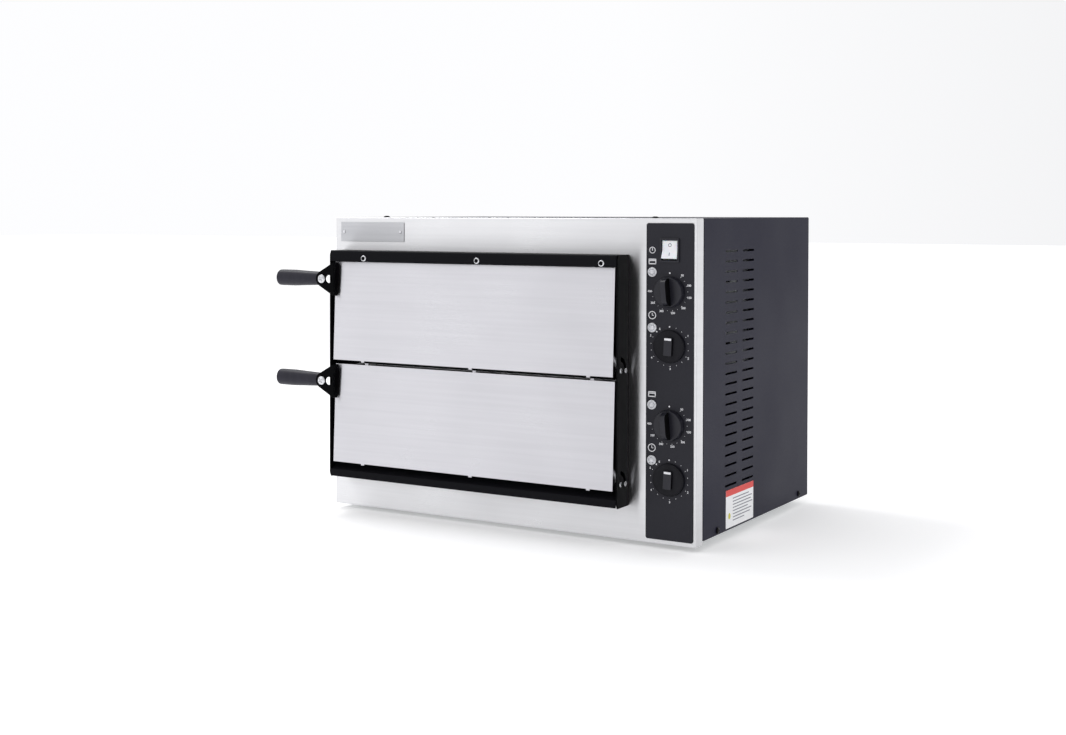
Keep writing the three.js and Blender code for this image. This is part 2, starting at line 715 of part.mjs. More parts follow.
function addSwitchHousing() {
  const bezelFront = OVERLAY_Y[0] - GAP - 2;
  const bezelBack = OVERLAY_Y[0] - GAP;
  const bodyBack = 26;
  const pocketBack = 14;
  const { width, height } = SWITCH_BODY;
  const bezel = plateFacingFront(roundedRectangle(
    [-SWITCH_BEZEL.width / 2, SWITCH_BEZEL.width / 2],
    [-SWITCH_BEZEL.height / 2, SWITCH_BEZEL.height / 2], 1.5), [bezelFront, bezelBack]);
  const body = block([-width / 2, width / 2], [bezelBack - 1, bodyBack], [-height / 2, height / 2]);
  const pocket = block(
    [-SWITCH_POCKET.width / 2, SWITCH_POCKET.width / 2],
    [bezelFront - 1, pocketBack],
    [-SWITCH_POCKET.height / 2, SWITCH_POCKET.height / 2]);
  place(oven, "switch_housing", cut(join(bezel, body), pocket), CONTROL_PLASTIC, [KNOB_X, 0, SWITCH_Z]);
}

const ROCKER_PIVOT_Y = 3;
const ROCKER_TILT = THREE.MathUtils.degToRad(10);

// two-facet rocker, modelled level about its pivot and placed with its lower end out
function addSwitchRocker() {
  const width = 21.4;
  const reach = 12;
  const tip = -6.4;
  const waist = -4.2;
  const profile = polygon([
    [tip, reach],
    [waist, 0],
    [tip, -reach],
    [0, -reach],
    [6, -4],
    [6, 4],
    [0, reach],
  ]);
  const rocker = plateFacingRight(profile, [-width / 2, width / 2]);
  const position = [KNOB_X, ROCKER_PIVOT_Y, SWITCH_Z];
  place(oven, "switch_rocker", rocker, WHITE_PLASTIC, position, [-ROCKER_TILT, 0, 0]);
}

function addNameplate() {
  const plate = roundedRectangle([9.5, 120.5], [394.5, 423], 1.5);
  place(oven, "nameplate", plateFacingFront(plate, [-0.8 - GAP, -GAP]), STAINLESS);
}

function addSideLabel() {
  const label = roundedRectangle([105.5, 211.5], [7.5, 59.5], 1);
  const x = BODY_WIDTH + 0.1;
  place(oven, "side_label", plateFacingRight(label, [x, x + 0.25]), LABEL_FILM);
}

// ---------------------------------------------------------------- door frame

const FRAME_INNER = [FRAME_LEFT + FRAME_PLATE + GAP, FRAME_RIGHT - FRAME_PLATE - GAP];
const PIN_RADIUS = 2.5;
const PIN_HOLE_RADIUS = PIN_RADIUS + GAP;
const STOP_PIN_RADIUS = 2;
const STOP_SLOT_HALF_WIDTH = STOP_PIN_RADIUS + 1;
const FRAME_BACK = -GAP;

// side plate outline in Y and Z, its two front corners cut back
function cheekOutline() {
  const chamfer = 6;
  return polygon([
    [-FRAME_DEPTH, FRAME_BOTTOM + chamfer],
    [chamfer / 2 - FRAME_DEPTH, FRAME_BOTTOM],
    [FRAME_BACK, FRAME_BOTTOM],
    [FRAME_BACK, FRAME_TOP],
    [chamfer / 2 - FRAME_DEPTH, FRAME_TOP],
    [-FRAME_DEPTH, FRAME_TOP - chamfer],
  ]);
}

// arc slot about the hinge axis, for the door's stop pin
function stopSlot(deck, xRange) {
  const start = STOP_REST_ANGLE;
  const end = STOP_REST_ANGLE + DOOR_TRAVEL;
  const half = STOP_SLOT_HALF_WIDTH;
  const endCentre = (angle) => [STOP_RADIUS * Math.cos(angle), STOP_RADIUS * Math.sin(angle)];
  const slot = new THREE.Shape();
  slot.absarc(0, 0, STOP_RADIUS + half, start, end, false);
  slot.absarc(...endCentre(end), half, end, end + Math.PI, false);
  slot.absarc(0, 0, STOP_RADIUS - half, end, start, true);
  slot.absarc(...endCentre(start), half, start + Math.PI, start + 2 * Math.PI, false);
  return plateFacingRight(slot, xRange, 8).translate(0, HINGE_Y, deck.hingeZ);
}

function hingeHole(deck, xRange) {
  return rodAlongX(PIN_HOLE_RADIUS, xRange, [HINGE_Y, deck.hingeZ], CIRCLE_MEDIUM);
}

// each cheek is a side plate with a fixing flange turned inwards against the front panel
function addFrameCheeks() {
  const flangeWidth = 12;
  const flangeY = [FRAME_BACK - FRAME_PLATE, FRAME_BACK];
  const flangeZ = [FRAME_BOTTOM + 23, FRAME_TOP - 20];
  const sides = [
    { name: "frame_left_cheek", plate: [FRAME_LEFT, FRAME_LEFT + FRAME_PLATE], slotted: false,
      flange: [FRAME_LEFT, FRAME_LEFT + flangeWidth] },
    { name: "frame_right_cheek", plate: [FRAME_RIGHT - FRAME_PLATE, FRAME_RIGHT], slotted: true,
      flange: [FRAME_RIGHT - flangeWidth, FRAME_RIGHT] },
  ];
  for (const side of sides) {
    const through = [side.plate[0] - 1, side.plate[1] + 1];
    const holes = DECKS.map((deck) => hingeHole(deck, through));
    const slots = side.slotted ? DECKS.map((deck) => stopSlot(deck, through)) : [];
    const plate = join(plateFacingRight(cheekOutline(), side.plate), block(side.flange, flangeY, flangeZ));
    place(oven, side.name, cut(plate, ...holes, ...slots), BLACK_PAINT);
  }
}

// hollow cap over the doors, with a rolled front edge
function addFrameTopBar() {
  const roll = 3;
  const bottom = LOWER_HINGE_Z + DECK_PITCH + DOOR_TOP + 1;
  const front = -FRAME_DEPTH;
  const inner = roll - FRAME_SHEET;
  const section = new THREE.Shape();
  section.moveTo(front, bottom);
  section.lineTo(front, FRAME_TOP - roll);
  section.absarc(front + roll, FRAME_TOP - roll, roll, Math.PI, Math.PI / 2, true);
  section.lineTo(FRAME_BACK, FRAME_TOP);
  section.lineTo(FRAME_BACK, FRAME_TOP - 12);
  section.lineTo(FRAME_BACK - FRAME_SHEET, FRAME_TOP - 12);
  section.lineTo(FRAME_BACK - FRAME_SHEET, FRAME_TOP - FRAME_SHEET);
  section.absarc(front + roll, FRAME_TOP - roll, inner, Math.PI / 2, Math.PI, false);
  section.lineTo(front + FRAME_SHEET, bottom);
  place(oven, "frame_top_bar", plateFacingRight(section, FRAME_INNER), BLACK_PAINT);
}

// sill that slopes up to the rear under the lower door, over a plain front lip
function addFrameBottomBar() {
  const front = -FRAME_DEPTH;
  const lipTop = FRAME_BOTTOM + 11.5;
  const sillBack = { y: -12, z: LOWER_HINGE_Z + DOOR_BOTTOM - 1.5 };
  const sheet = FRAME_SHEET;
  const section = polygon([
    [front, FRAME_BOTTOM + 1],
    [front + sheet, FRAME_BOTTOM + 1],
    [front + sheet, lipTop - sheet],
    [sillBack.y, sillBack.z - sheet],
    [FRAME_BACK - sheet, sillBack.z - sheet],
    [FRAME_BACK - sheet, FRAME_BOTTOM + 1],
    [FRAME_BACK, FRAME_BOTTOM + 1],
    [FRAME_BACK, sillBack.z],
    [sillBack.y, sillBack.z],
    [front, lipTop],
  ]);
  place(oven, "frame_bottom_bar", plateFacingRight(section, FRAME_INNER), BLACK_PAINT);
}

// channel between the two doors, open to the rear
function addFrameDivider() {
  const front = -12;
  const top = LOWER_HINGE_Z + DECK_PITCH - 6.8;
  const bottom = LOWER_HINGE_Z + DOOR_TOP + 1;
  const sheet = FRAME_SHEET;
  const section = polygon([
    [FRAME_BACK, top],
    [front, top],
    [front, bottom],
    [FRAME_BACK, bottom],
    [FRAME_BACK, bottom + sheet],
    [front + sheet, bottom + sheet],
    [front + sheet, top - sheet],
    [FRAME_BACK, top - sheet],
  ]);
  const flange = 13;
  const ends = [FRAME_INNER[0] + flange, FRAME_INNER[1] - flange];
  place(oven, "frame_divider", plateFacingRight(section, ends), BLACK_PAINT);
}

// hinge pins are shouldered screws through the cheeks into the door's side walls
function addHingePins(deck) {
  const reach = 22;
  const head = { radius: 3.4, height: 2 };
  const socket = { radius: 1.6, depth: 1.4 };
  const pin = cut(
    join(
      rodAlongX(PIN_RADIUS, [-reach, 0.5], [0, 0], CIRCLE_MEDIUM),
      rodAlongX(head.radius, [0, head.height], [0, 0], CIRCLE_MEDIUM),
    ),
    rodAlongX(socket.radius, [head.height - socket.depth, head.height + 1], [0, 0], 6),
  );
  const right = [FRAME_RIGHT + GAP, HINGE_Y, deck.hingeZ];
  const left = [FRAME_LEFT - GAP, HINGE_Y, deck.hingeZ];
  place(oven, `${deck.name}_hinge_pin_right`, pin, ZINC_STEEL, right);
  place(oven, `${deck.name}_hinge_pin_left`, pin, ZINC_STEEL, left, [0, 0, Math.PI]);
}

// ---------------------------------------------------------------- doors
// Everything on a door is modelled about its hinge axis, in a group standing on that axis.

const DOOR_X = [FRAME_LEFT + FRAME_PLATE + DOOR_SIDE_GAP, FRAME_RIGHT - FRAME_PLATE - DOOR_SIDE_GAP];
const LINER_X = [DOOR_X[0] + 8, DOOR_X[1] - 8];

// the door's front leans back towards its top
function doorFrontY(z) {
  const climb = (z - DOOR_BOTTOM) / (DOOR_TOP - DOOR_BOTTOM);
  return DOOR_FRONT_AT_BOTTOM + climb * (DOOR_FRONT_AT_TOP - DOOR_FRONT_AT_BOTTOM);
}

function doorSkin() {
  const returnDepth = 13;
  const front = (z, depth) => [doorFrontY(z) + depth, z];
  const section = polygon([
    front(DOOR_BOTTOM, 0),
    front(DOOR_BOTTOM, returnDepth),
    front(DOOR_BOTTOM + SHEET, returnDepth),
    front(DOOR_BOTTOM + SHEET, SHEET),
    front(DOOR_TOP - SHEET, SHEET),
    front(DOOR_TOP - SHEET, returnDepth),
    front(DOOR_TOP, returnDepth),
    front(DOOR_TOP, 0),
  ]);
  const sideOutline = polygon([
    front(DOOR_BOTTOM, 0),
    front(DOOR_BOTTOM, returnDepth),
    front(DOOR_TOP, returnDepth),
    front(DOOR_TOP, 0),
  ]);
  const [x0, x1] = DOOR_X;
  return cut(
    join(
      plateFacingRight(section, DOOR_X),
      plateFacingRight(sideOutline, [x0, x0 + SHEET]),
      plateFacingRight(sideOutline, [x1 - SHEET, x1]),
    ),
    rodAlongX(PIN_HOLE_RADIUS, [x0 - 1, x1 + 1], [0, 0], CIRCLE_MEDIUM),
  );
}

// tray closing the door's back, with the stop pin riveted to its right wall
function doorLiner() {
  const bottom = DOOR_BOTTOM + 4;
  const top = DOOR_TOP - 4;
  const front = (z, depth) => [doorFrontY(z) + depth, z];
  const outline = (inset, frontDepth) => polygon([
    front(bottom + inset, frontDepth),
    [LINER_BACK - inset, bottom + inset],
    [LINER_BACK - inset, top - inset],
    front(top - inset, frontDepth),
  ]);
  const [x0, x1] = LINER_X;
  const rim = SHEET + GAP;
  const stopPin = [STOP_RADIUS * Math.cos(STOP_REST_ANGLE), STOP_RADIUS * Math.sin(STOP_REST_ANGLE)];
  const tray = cut(
    plateFacingRight(outline(0, rim), LINER_X),
    plateFacingRight(outline(SHEET, rim - SHEET), [x0 + SHEET, x1 - SHEET]),
    rodAlongX(PIN_HOLE_RADIUS, [x0 - 1, x1 + 1], [0, 0], CIRCLE_MEDIUM),
  );
  return join(tray, rodAlongX(STOP_PIN_RADIUS, [x1 - SHEET, FRAME_RIGHT + 1.5], stopPin, CIRCLE_COARSE));
}

// handle: a bracket of bent sheet on the door's front carries the grip out past the left cheek
const HANDLE_Z = 110.7;
const GRIP_SCREW = { x: 1.9, shank: 2, clearance: 0.3 };
const GRIP_AXIS_Y = -2;
const BRACKET_SHEET = 2;
const BRACKET_PLATE_Y = [-15, -15 + BRACKET_SHEET];
const BRACKET_APEX = { x: 2.8, radius: 11.8 };
const BRACKET_SPREAD = Math.PI / 6;
const BRACKET_BEND_X = 22.8;
const BRACKET_RIGHT = 26;
const BRACKET_HOLE = { x: 14.3, radius: 5.9 };

// rounded fan: a round apex at the left, two straight edges and a bulging right side
function bracketOutline() {
  const { x, radius } = BRACKET_APEX;
  const tangentX = x - radius * Math.sin(BRACKET_SPREAD);
  const tangentZ = radius * Math.cos(BRACKET_SPREAD);
  const cornerZ = tangentZ + (BRACKET_BEND_X - tangentX) * Math.tan(BRACKET_SPREAD);
  const outline = new THREE.Shape();
  outline.absarc(x, 0, radius, Math.PI / 2 + BRACKET_SPREAD, 1.5 * Math.PI - BRACKET_SPREAD, false);
  outline.lineTo(BRACKET_BEND_X, -cornerZ);
  outline.quadraticCurveTo(2 * BRACKET_RIGHT - BRACKET_BEND_X, 0, BRACKET_BEND_X, cornerZ);
  outline.closePath();
  return outline;
}

// Z-bent sheet: a flat plate for the grip, a short web, and a strip lying on the door's front
function handleBracket() {
  const lean = Math.atan2(DOOR_FRONT_AT_TOP - DOOR_FRONT_AT_BOTTOM, DOOR_TOP - DOOR_BOTTOM);
  const reach = 40;
  const alongDoor = (xRange, yRange) =>
    block(xRange, yRange, [-reach, reach]).rotateX(-lean).translate(0, doorFrontY(HANDLE_Z) - GAP, 0);
  const solid = plateFacingFront(bracketOutline(), [BRACKET_PLATE_Y[0], 0], 12);
  const webLeft = BRACKET_BEND_X - BRACKET_SHEET;
  const behindPlate = block([-reach, webLeft], [BRACKET_PLATE_Y[1], 1], [-reach, reach]);
  const beforeStrip = alongDoor([BRACKET_BEND_X, reach], [-reach, -BRACKET_SHEET]);
  const behindStrip = alongDoor([-reach, reach], [0, reach]);
  const through = [BRACKET_PLATE_Y[0] - 1, BRACKET_PLATE_Y[1] + 1];
  const opening = rodAlongY(BRACKET_HOLE.radius, through, [BRACKET_HOLE.x, 0], CIRCLE_MEDIUM);
  const screwHole = rodAlongY(
    GRIP_SCREW.shank + GRIP_SCREW.clearance, through, [GRIP_SCREW.x, 0], CIRCLE_MEDIUM);
  return cut(solid, behindPlate, beforeStrip, behindStrip, opening, screwHole).translate(0, 0, HANDLE_Z);
}

// slightly swollen turned grip, with a flat tang behind the bracket's plate
function handleGrip() {
  const leftEnd = -84;
  const neck = -6;
  const grip = turnedAboutY([
    [0, leftEnd],
    [9.5, leftEnd + 0.4],
    [11.6, leftEnd + 2.6],
    [12, leftEnd + 6],
    [12, leftEnd + 30],
    [11, leftEnd + 48],
    [9.8, neck],
    [0, neck],
  ], CIRCLE_MEDIUM).rotateZ(-Math.PI / 2).translate(0, GRIP_AXIS_Y, HANDLE_Z);
  const tang = { right: 5.6, depth: 3.5, halfHeight: 7.5 };
  const tangY = [BRACKET_PLATE_Y[1] + GAP, BRACKET_PLATE_Y[1] + GAP + tang.depth];
  const tangZ = [HANDLE_Z - tang.halfHeight, HANDLE_Z + tang.halfHeight];
  const flat = block([neck - 3, tang.right], tangY, tangZ);
  const hole = rodAlongY(
    GRIP_SCREW.shank + GRIP_SCREW.clearance,
    [tangY[0] - 1, tangY[1] + 1], [GRIP_SCREW.x, HANDLE_Z], CIRCLE_MEDIUM);
  return cut(join(grip, flat), hole);
}

function handleScrew() {
  const head = { radius: 6.4, height: 3 };
  return domedScrew(head.radius, head.height, GRIP_SCREW.shank, 5.6);
}

function addDoor(deck) {
  const door = new THREE.Group();
  door.position.set(0, HINGE_Y, deck.hingeZ);
  oven.add(door);
  const screwAt = [GRIP_SCREW.x, BRACKET_PLATE_Y[0] - GAP, HANDLE_Z];
  place(door, `${deck.name}_door_skin`, doorSkin(), STAINLESS);
  place(door, `${deck.name}_door_liner`, doorLiner(), ALUMINISED);
  place(door, `${deck.name}_handle_bracket`, handleBracket(), BLACK_PAINT);
  place(door, `${deck.name}_handle_grip`, handleGrip(), BAKELITE);
  place(door, `${deck.name}_handle_screw`, handleScrew(), ZINC_STEEL, screwAt);
}

// ---------------------------------------------------------------- assembly

addFrontPanel();
addOuterCover();
addBasePlate();
addRearPanel();
addCableGland();
addTerminalBlock();
addFeet();
addControlCompartmentWall();
addInsulation();
addCoverScrews();
addControlOverlay();
addLamps();
addKnobs();
addControlBodies();
addSwitchHousing();
addSwitchRocker();
addNameplate();
addSideLabel();
addFrameCheeks();
addFrameTopBar();
addFrameBottomBar();
addFrameDivider();
for (const deck of DECKS) {
  addChamber(deck);
  addBakingStone(deck);
  addHeatingElements(deck);
  addHingePins(deck);
  addDoor(deck);
}

// origin at the bottom centre of the whole object, standing on its feet
const bounds = new THREE.Box3().setFromObject(oven);
const centre = bounds.getCenter(new THREE.Vector3());
oven.position.set(-centre.x, -centre.y, -bounds.min.z);

export default oven;
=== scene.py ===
import json
import math

import bmesh
import bpy
import numpy as np
from mathutils import Matrix, Vector


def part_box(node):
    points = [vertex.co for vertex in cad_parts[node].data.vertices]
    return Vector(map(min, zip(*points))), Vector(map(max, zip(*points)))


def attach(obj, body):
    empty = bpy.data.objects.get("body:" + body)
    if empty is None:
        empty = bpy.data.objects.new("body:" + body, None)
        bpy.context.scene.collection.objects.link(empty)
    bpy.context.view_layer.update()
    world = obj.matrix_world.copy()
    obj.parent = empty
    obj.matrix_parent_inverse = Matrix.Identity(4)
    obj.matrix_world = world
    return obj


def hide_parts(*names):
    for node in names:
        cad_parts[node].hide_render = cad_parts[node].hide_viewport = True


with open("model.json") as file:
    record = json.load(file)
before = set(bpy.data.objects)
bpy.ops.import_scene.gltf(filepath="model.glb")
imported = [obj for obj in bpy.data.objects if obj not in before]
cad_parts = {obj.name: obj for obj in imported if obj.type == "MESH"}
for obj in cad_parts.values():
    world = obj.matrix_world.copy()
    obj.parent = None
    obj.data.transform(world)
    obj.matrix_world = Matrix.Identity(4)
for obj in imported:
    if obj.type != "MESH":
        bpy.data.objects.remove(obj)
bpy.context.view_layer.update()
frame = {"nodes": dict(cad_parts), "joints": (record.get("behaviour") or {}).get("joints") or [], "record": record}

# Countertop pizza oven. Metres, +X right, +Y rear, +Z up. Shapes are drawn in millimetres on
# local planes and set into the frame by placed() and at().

MM = 0.001
RIGHT = Vector((1, 0, 0))
LEFT = Vector((-1, 0, 0))
FRONT = Vector((0, -1, 0))
REAR = Vector((0, 1, 0))
UP = Vector((0, 0, 1))

BODY_OF = {
    node: body
    for body, nodes in frame["record"]["behaviour"]["bodies"].items()
    for node in nodes
}
DECKS = ("lower", "upper")

# the shell's lower left front corner
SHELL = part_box("front_panel")[0]


def at(x, y, z):
    """Point in the frame from millimetres right of, behind and above the shell's corner."""
    return SHELL + Vector((x, y, z)) * MM


def middle(node, **moved):
    """Centre of a CAD node's box, moved along an axis to another place where one is given."""
    low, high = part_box(node)
    centre = (low + high) / 2
    for axis, value in moved.items():
        setattr(centre, axis, value)
    return centre


def extent(node):
    """Size of a CAD node in millimetres."""
    low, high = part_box(node)
    return (high - low) / MM


def in_scene(name, data):
    """New object in the scene."""
    made = bpy.data.objects.new(name, data)
    bpy.context.scene.collection.objects.link(made)
    return made


# ---------- camera

SENSOR_WIDTH = 36
CLIP_END = 60
CAMERA_AT = at(1347.5, -1970.5, 439.8)
CAMERA_YAW = math.radians(35.17)
CAMERA_PITCH = math.radians(-0.98)
CAMERA_LENS = 53.57
CAMERA_SHIFT = (0.2054, -0.1215)


def aim(thing, location, direction):
    """Sets a camera or a lamp at a place, looking along a direction."""
    thing.location = location
    thing.rotation_mode = "QUATERNION"
    thing.rotation_quaternion = direction.to_track_quat("-Z", "Y")


def add_camera():
    data = bpy.data.cameras.new("camera")
    data.sensor_width = SENSOR_WIDTH
    data.lens = CAMERA_LENS
    data.shift_x, data.shift_y = CAMERA_SHIFT
    data.clip_end = CLIP_END
    camera = in_scene("camera", data)
    level = math.cos(CAMERA_PITCH)
    forward = Vector((
        -math.sin(CAMERA_YAW) * level,
        math.cos(CAMERA_YAW) * level,
        math.sin(CAMERA_PITCH),
    ))
    aim(camera, CAMERA_AT, forward)
    bpy.context.scene.camera = camera


# ---------- node graphs


def srgb(red, green, blue):
    """Linear colour from 0 to 255 display values."""
    def linear(value):
        share = value / 255
        return share / 12.92 if share <= 0.04045 else ((share + 0.055) / 1.055) ** 2.4
    return (linear(red), linear(green), linear(blue), 1.0)


class Graph:
    """A material's nodes. Texture sizes are in millimetres of the object's own space."""

    def __init__(self, name):
        self.material = bpy.data.materials.new(name)
        self.material.use_nodes = True
        self.tree = self.material.node_tree
        self.tree.nodes.clear()
        self.shader = self.tree.nodes.new("ShaderNodeBsdfPrincipled")
        output = self.tree.nodes.new("ShaderNodeOutputMaterial")
        self.tree.links.new(self.shader.outputs["BSDF"], output.inputs["Surface"])

    def feed(self, socket, value):
        if isinstance(value, bpy.types.NodeSocket):
            self.tree.links.new(value, socket)
        else:
            socket.default_value = value

    def add(self, kind, inputs, **settings):
        node = self.tree.nodes.new("ShaderNode" + kind)
        for key, value in settings.items():
            setattr(node, key, value)
        for key, value in inputs.items():
            self.feed(node.inputs[key], value)
        return node

    def surface(self, **inputs):
        for key, value in inputs.items():
            self.feed(self.shader.inputs[key.replace("_", " ")], value)
        return self.material

    def coordinates(self, size):
        sizes = size if hasattr(size, "__len__") else (size, size, size)
        object_space = self.add("TexCoord", {}).outputs["Object"]
        scale = [1 / (value * MM) for value in sizes]
        return self.add("Mapping", {"Vector": object_space, "Scale": scale}).outputs[0]

    def noise(self, size, detail=2.0, roughness=0.5, distortion=0.0):
        inputs = {
            "Vector": self.coordinates(size), "Scale": 1.0, "Detail": detail,
            "Roughness": roughness, "Distortion": distortion,
        }
        return self.add("TexNoise", inputs).outputs["Fac"]

    def cells(self, size, randomness=1.0):
        inputs = {"Vector": self.coordinates(size), "Scale": 1.0, "Randomness": randomness}
        return self.add("TexVoronoi", inputs, feature="F1").outputs["Distance"]

    def spread(self, value, low, high, start=0.0, end=1.0):
        """Value between start and end, carried to the range from low to high."""
        inputs = {"Value": value, "From Min": start, "From Max": end, "To Min": low, "To Max": high}
        return self.add("MapRange", inputs).outputs["Result"]

    def contrast(self, value, start=0.35, end=0.65):
        """The value's middle range, carried to the range from 0 to 1."""
        return self.spread(value, 0, 1, start, end)

    def mix(self, share, first, second):
        mixed = self.add("Mix", {0: share, 6: first, 7: second}, data_type="RGBA")
        return mixed.outputs[2]

    def total(self, first, second):
        return self.add("Math", {0: first, 1: second}, operation="ADD").outputs[0]

    def bump(self, height, depth, under=None):
        """Normal of a relief of that depth in millimetres."""
        inputs = {"Height": height, "Distance": depth * MM, "Strength": 1.0}
        if under is not None:
            inputs["Normal"] = under
        return self.add("Bump", inputs).outputs["Normal"]

    def along(self, direction):
        """Direction fixed to the piece, for the highlight of a brushed surface."""
        inputs = {"Vector": direction}
        return self.add("VectorTransform", inputs, vector_type="VECTOR", convert_from="OBJECT",
                        convert_to="WORLD").outputs[0]


# ---------- materials


def scaled(tone, factor, lift=0.0):
    """Colour with its channels multiplied, then lifted."""
    return tuple(min(1.0, channel * factor + lift) for channel in tone[:3]) + (1.0,)


# Hairlines run level, so highlights stretch up and down. The tangent is a little off upright,
# which keeps it defined on level faces too.
NEAR_UPRIGHT = (0.04, 0.03, 1.0)


def brushed_steel(name, light, dark, roughness):
    graph = Graph(name)
    hairlines = graph.noise((70, 70, 0.22), detail=3)
    bands = graph.noise((260, 260, 5), detail=2)
    clouds = graph.noise(120, detail=2)
    tone = graph.mix(graph.contrast(bands), light, dark)
    smudge = graph.spread(clouds, -0.025, 0.035, 0.3, 0.7)
    rough = graph.total(graph.spread(hairlines, roughness - 0.05, roughness + 0.05), smudge)
    return graph.surface(
        Base_Color=tone, Metallic=1.0, Roughness=rough, Anisotropic=1.0,
        Tangent=graph.along(NEAR_UPRIGHT), Normal=graph.bump(hairlines, 0.004))


def powder_coat(name, tone, roughness, specular, grain):
    """Baked paint: fine orange peel with a little fleck in its gloss."""
    graph = Graph(name)
    peel = graph.noise(grain, detail=3, roughness=0.6)
    fleck = graph.noise(grain * 0.35, detail=1)
    drift = graph.noise(150, detail=2)
    rough = graph.total(
        graph.spread(drift, -0.03, 0.03, 0.3, 0.7),
        graph.spread(peel, roughness - 0.06, roughness + 0.06, 0.3, 0.7))
    relief = graph.bump(fleck, 0.006, graph.bump(peel, 0.03))
    return graph.surface(
        Base_Color=graph.mix(graph.contrast(fleck, 0.4, 0.7), tone, scaled(tone, 1.25)),
        Roughness=rough, Specular_IOR_Level=specular, Normal=relief)


def moulded_plastic(name, tone, roughness, texture_depth, specular=0.5):
    """Satin moulding with a fine spark-eroded texture."""
    graph = Graph(name)
    grain = graph.noise(0.35, detail=3, roughness=0.65)
    flow = graph.noise((9, 9, 30), detail=2)
    return graph.surface(
        Base_Color=graph.mix(graph.contrast(flow), tone, scaled(tone, 1.18, 0.002)),
        Roughness=graph.spread(grain, roughness - 0.05, roughness + 0.07, 0.3, 0.7),
        Specular_IOR_Level=specular, Normal=graph.bump(grain, texture_depth))


def aluminised_sheet(name):
    """Mill-finish hot-dip sheet: soft mottling, rolling lines and light scratches."""
    graph = Graph(name)
    mottle = graph.noise(7, detail=4, roughness=0.6)
    rolling = graph.noise((1.2, 90, 90), detail=2)
    scratches = graph.noise((28, 0.6, 28), detail=2, distortion=0.6)
    tone = graph.mix(graph.contrast(mottle), (0.42, 0.43, 0.44, 1), (0.31, 0.315, 0.32, 1))
    rough = graph.total(
        graph.spread(mottle, 0.36, 0.5, 0.3, 0.7),
        graph.spread(rolling, -0.04, 0.06, 0.35, 0.65))
    return graph.surface(
        Base_Color=tone, Metallic=1.0, Roughness=rough,
        Normal=graph.bump(scratches, 0.004, graph.bump(rolling, 0.003)))


def galvanised_sheet(name):
    """Zinc spangle: flat crystals a centimetre across, each with its own tone and sheen."""
    graph = Graph(name)
    crystals = graph.add("TexVoronoi", {"Vector": graph.coordinates(9), "Scale": 1.0}, feature="F1")
    grey = graph.add("SeparateColor", {"Color": crystals.outputs["Color"]}).outputs["Red"]
    frost = graph.noise(0.8, detail=3)
    return graph.surface(
        Base_Color=graph.mix(grey, (0.37, 0.39, 0.4, 1), (0.52, 0.54, 0.55, 1)), Metallic=1.0,
        Roughness=graph.total(graph.spread(grey, 0.34, 0.52), graph.spread(frost, -0.04, 0.05)),
        Normal=graph.bump(grey, 0.004, graph.bump(frost, 0.004)))


def fireclay(name):
    """Pressed refractory: sandy body, dark and pale grog, open pores and a few bake marks."""
    graph = Graph(name)
    body = graph.noise(26, detail=5, roughness=0.6)
    sand = graph.noise(1.1, detail=4, roughness=0.7)
    grog = graph.cells(3.2)
    pores = graph.cells(1.7)
    tone = graph.mix(graph.contrast(body, 0.3, 0.7), srgb(205, 186, 150), srgb(184, 160, 122))
    tone = graph.mix(graph.spread(grog, 0.75, 0, 0.06, 0.2), tone, srgb(120, 98, 76))
    tone = graph.mix(graph.spread(sand, 0, 0.5, 0.4, 0.75), tone, srgb(226, 213, 186))
    pitted = graph.bump(graph.contrast(pores, 0.05, 0.3), 0.12, graph.bump(sand, 0.1))
    return graph.surface(
        Base_Color=tone, Roughness=graph.spread(sand, 0.85, 1.0),
        Specular_IOR_Level=0.25, Normal=pitted)


def mineral_wool(name):
    graph = Graph(name)
    fibres = graph.noise((1.2, 14, 5), detail=5, roughness=0.7, distortion=2.0)
    tufts = graph.noise(18, detail=3)
    tone = graph.mix(fibres, srgb(150, 124, 72), srgb(206, 184, 130))
    return graph.surface(
        Base_Color=tone, Roughness=1.0, Specular_IOR_Level=0.1,
        Normal=graph.bump(fibres, 0.6, graph.bump(tufts, 2.5)))


def element_sheath(name):
    """Alloy tube darkened by heat: mottled green-grey oxide over a satin draw finish."""
    graph = Graph(name)
    oxide = graph.noise(16, detail=4, roughness=0.65)
    scale = graph.noise(1.2, detail=3)
    tone = graph.mix(graph.contrast(oxide), (0.085, 0.088, 0.075, 1), (0.035, 0.034, 0.032, 1))
    return graph.surface(
        Base_Color=tone, Metallic=0.75, Roughness=graph.spread(scale, 0.4, 0.65, 0.3, 0.7),
        Normal=graph.bump(scale, 0.015))


def plated_steel(name, tone, roughness):
    """Zinc or nickel plate with turning marks round the piece."""
    graph = Graph(name)
    marks = graph.noise(0.25, detail=2)
    haze = graph.noise(5, detail=2)
    return graph.surface(
        Base_Color=graph.mix(graph.contrast(haze, 0.3, 0.7), tone, scaled(tone, 0.82)),
        Metallic=1.0,
        Roughness=graph.spread(marks, roughness - 0.06, roughness + 0.08, 0.3, 0.7),
        Normal=graph.bump(marks, 0.004))


def printed_film(name, tone):
    """Polycarbonate film: fine velvet texture over back-printed colour."""
    graph = Graph(name)
    velvet = graph.noise(0.16, detail=2)
    print_grain = graph.noise(1.4, detail=3)
    return graph.surface(
        Base_Color=graph.mix(graph.contrast(print_grain), tone, scaled(tone, 1.12, 0.001)),
        Roughness=graph.spread(velvet, 0.4, 0.52, 0.3, 0.7), Specular_IOR_Level=0.3,
        Normal=graph.bump(velvet, 0.006))


def printing_ink(name, tone):
    graph = Graph(name)
    cover = graph.noise(0.3, detail=3)
    return graph.surface(
        Base_Color=graph.mix(graph.contrast(cover, 0.45, 0.75), tone, scaled(tone, 0.84)),
        Roughness=graph.spread(cover, 0.45, 0.6), Normal=graph.bump(cover, 0.002))


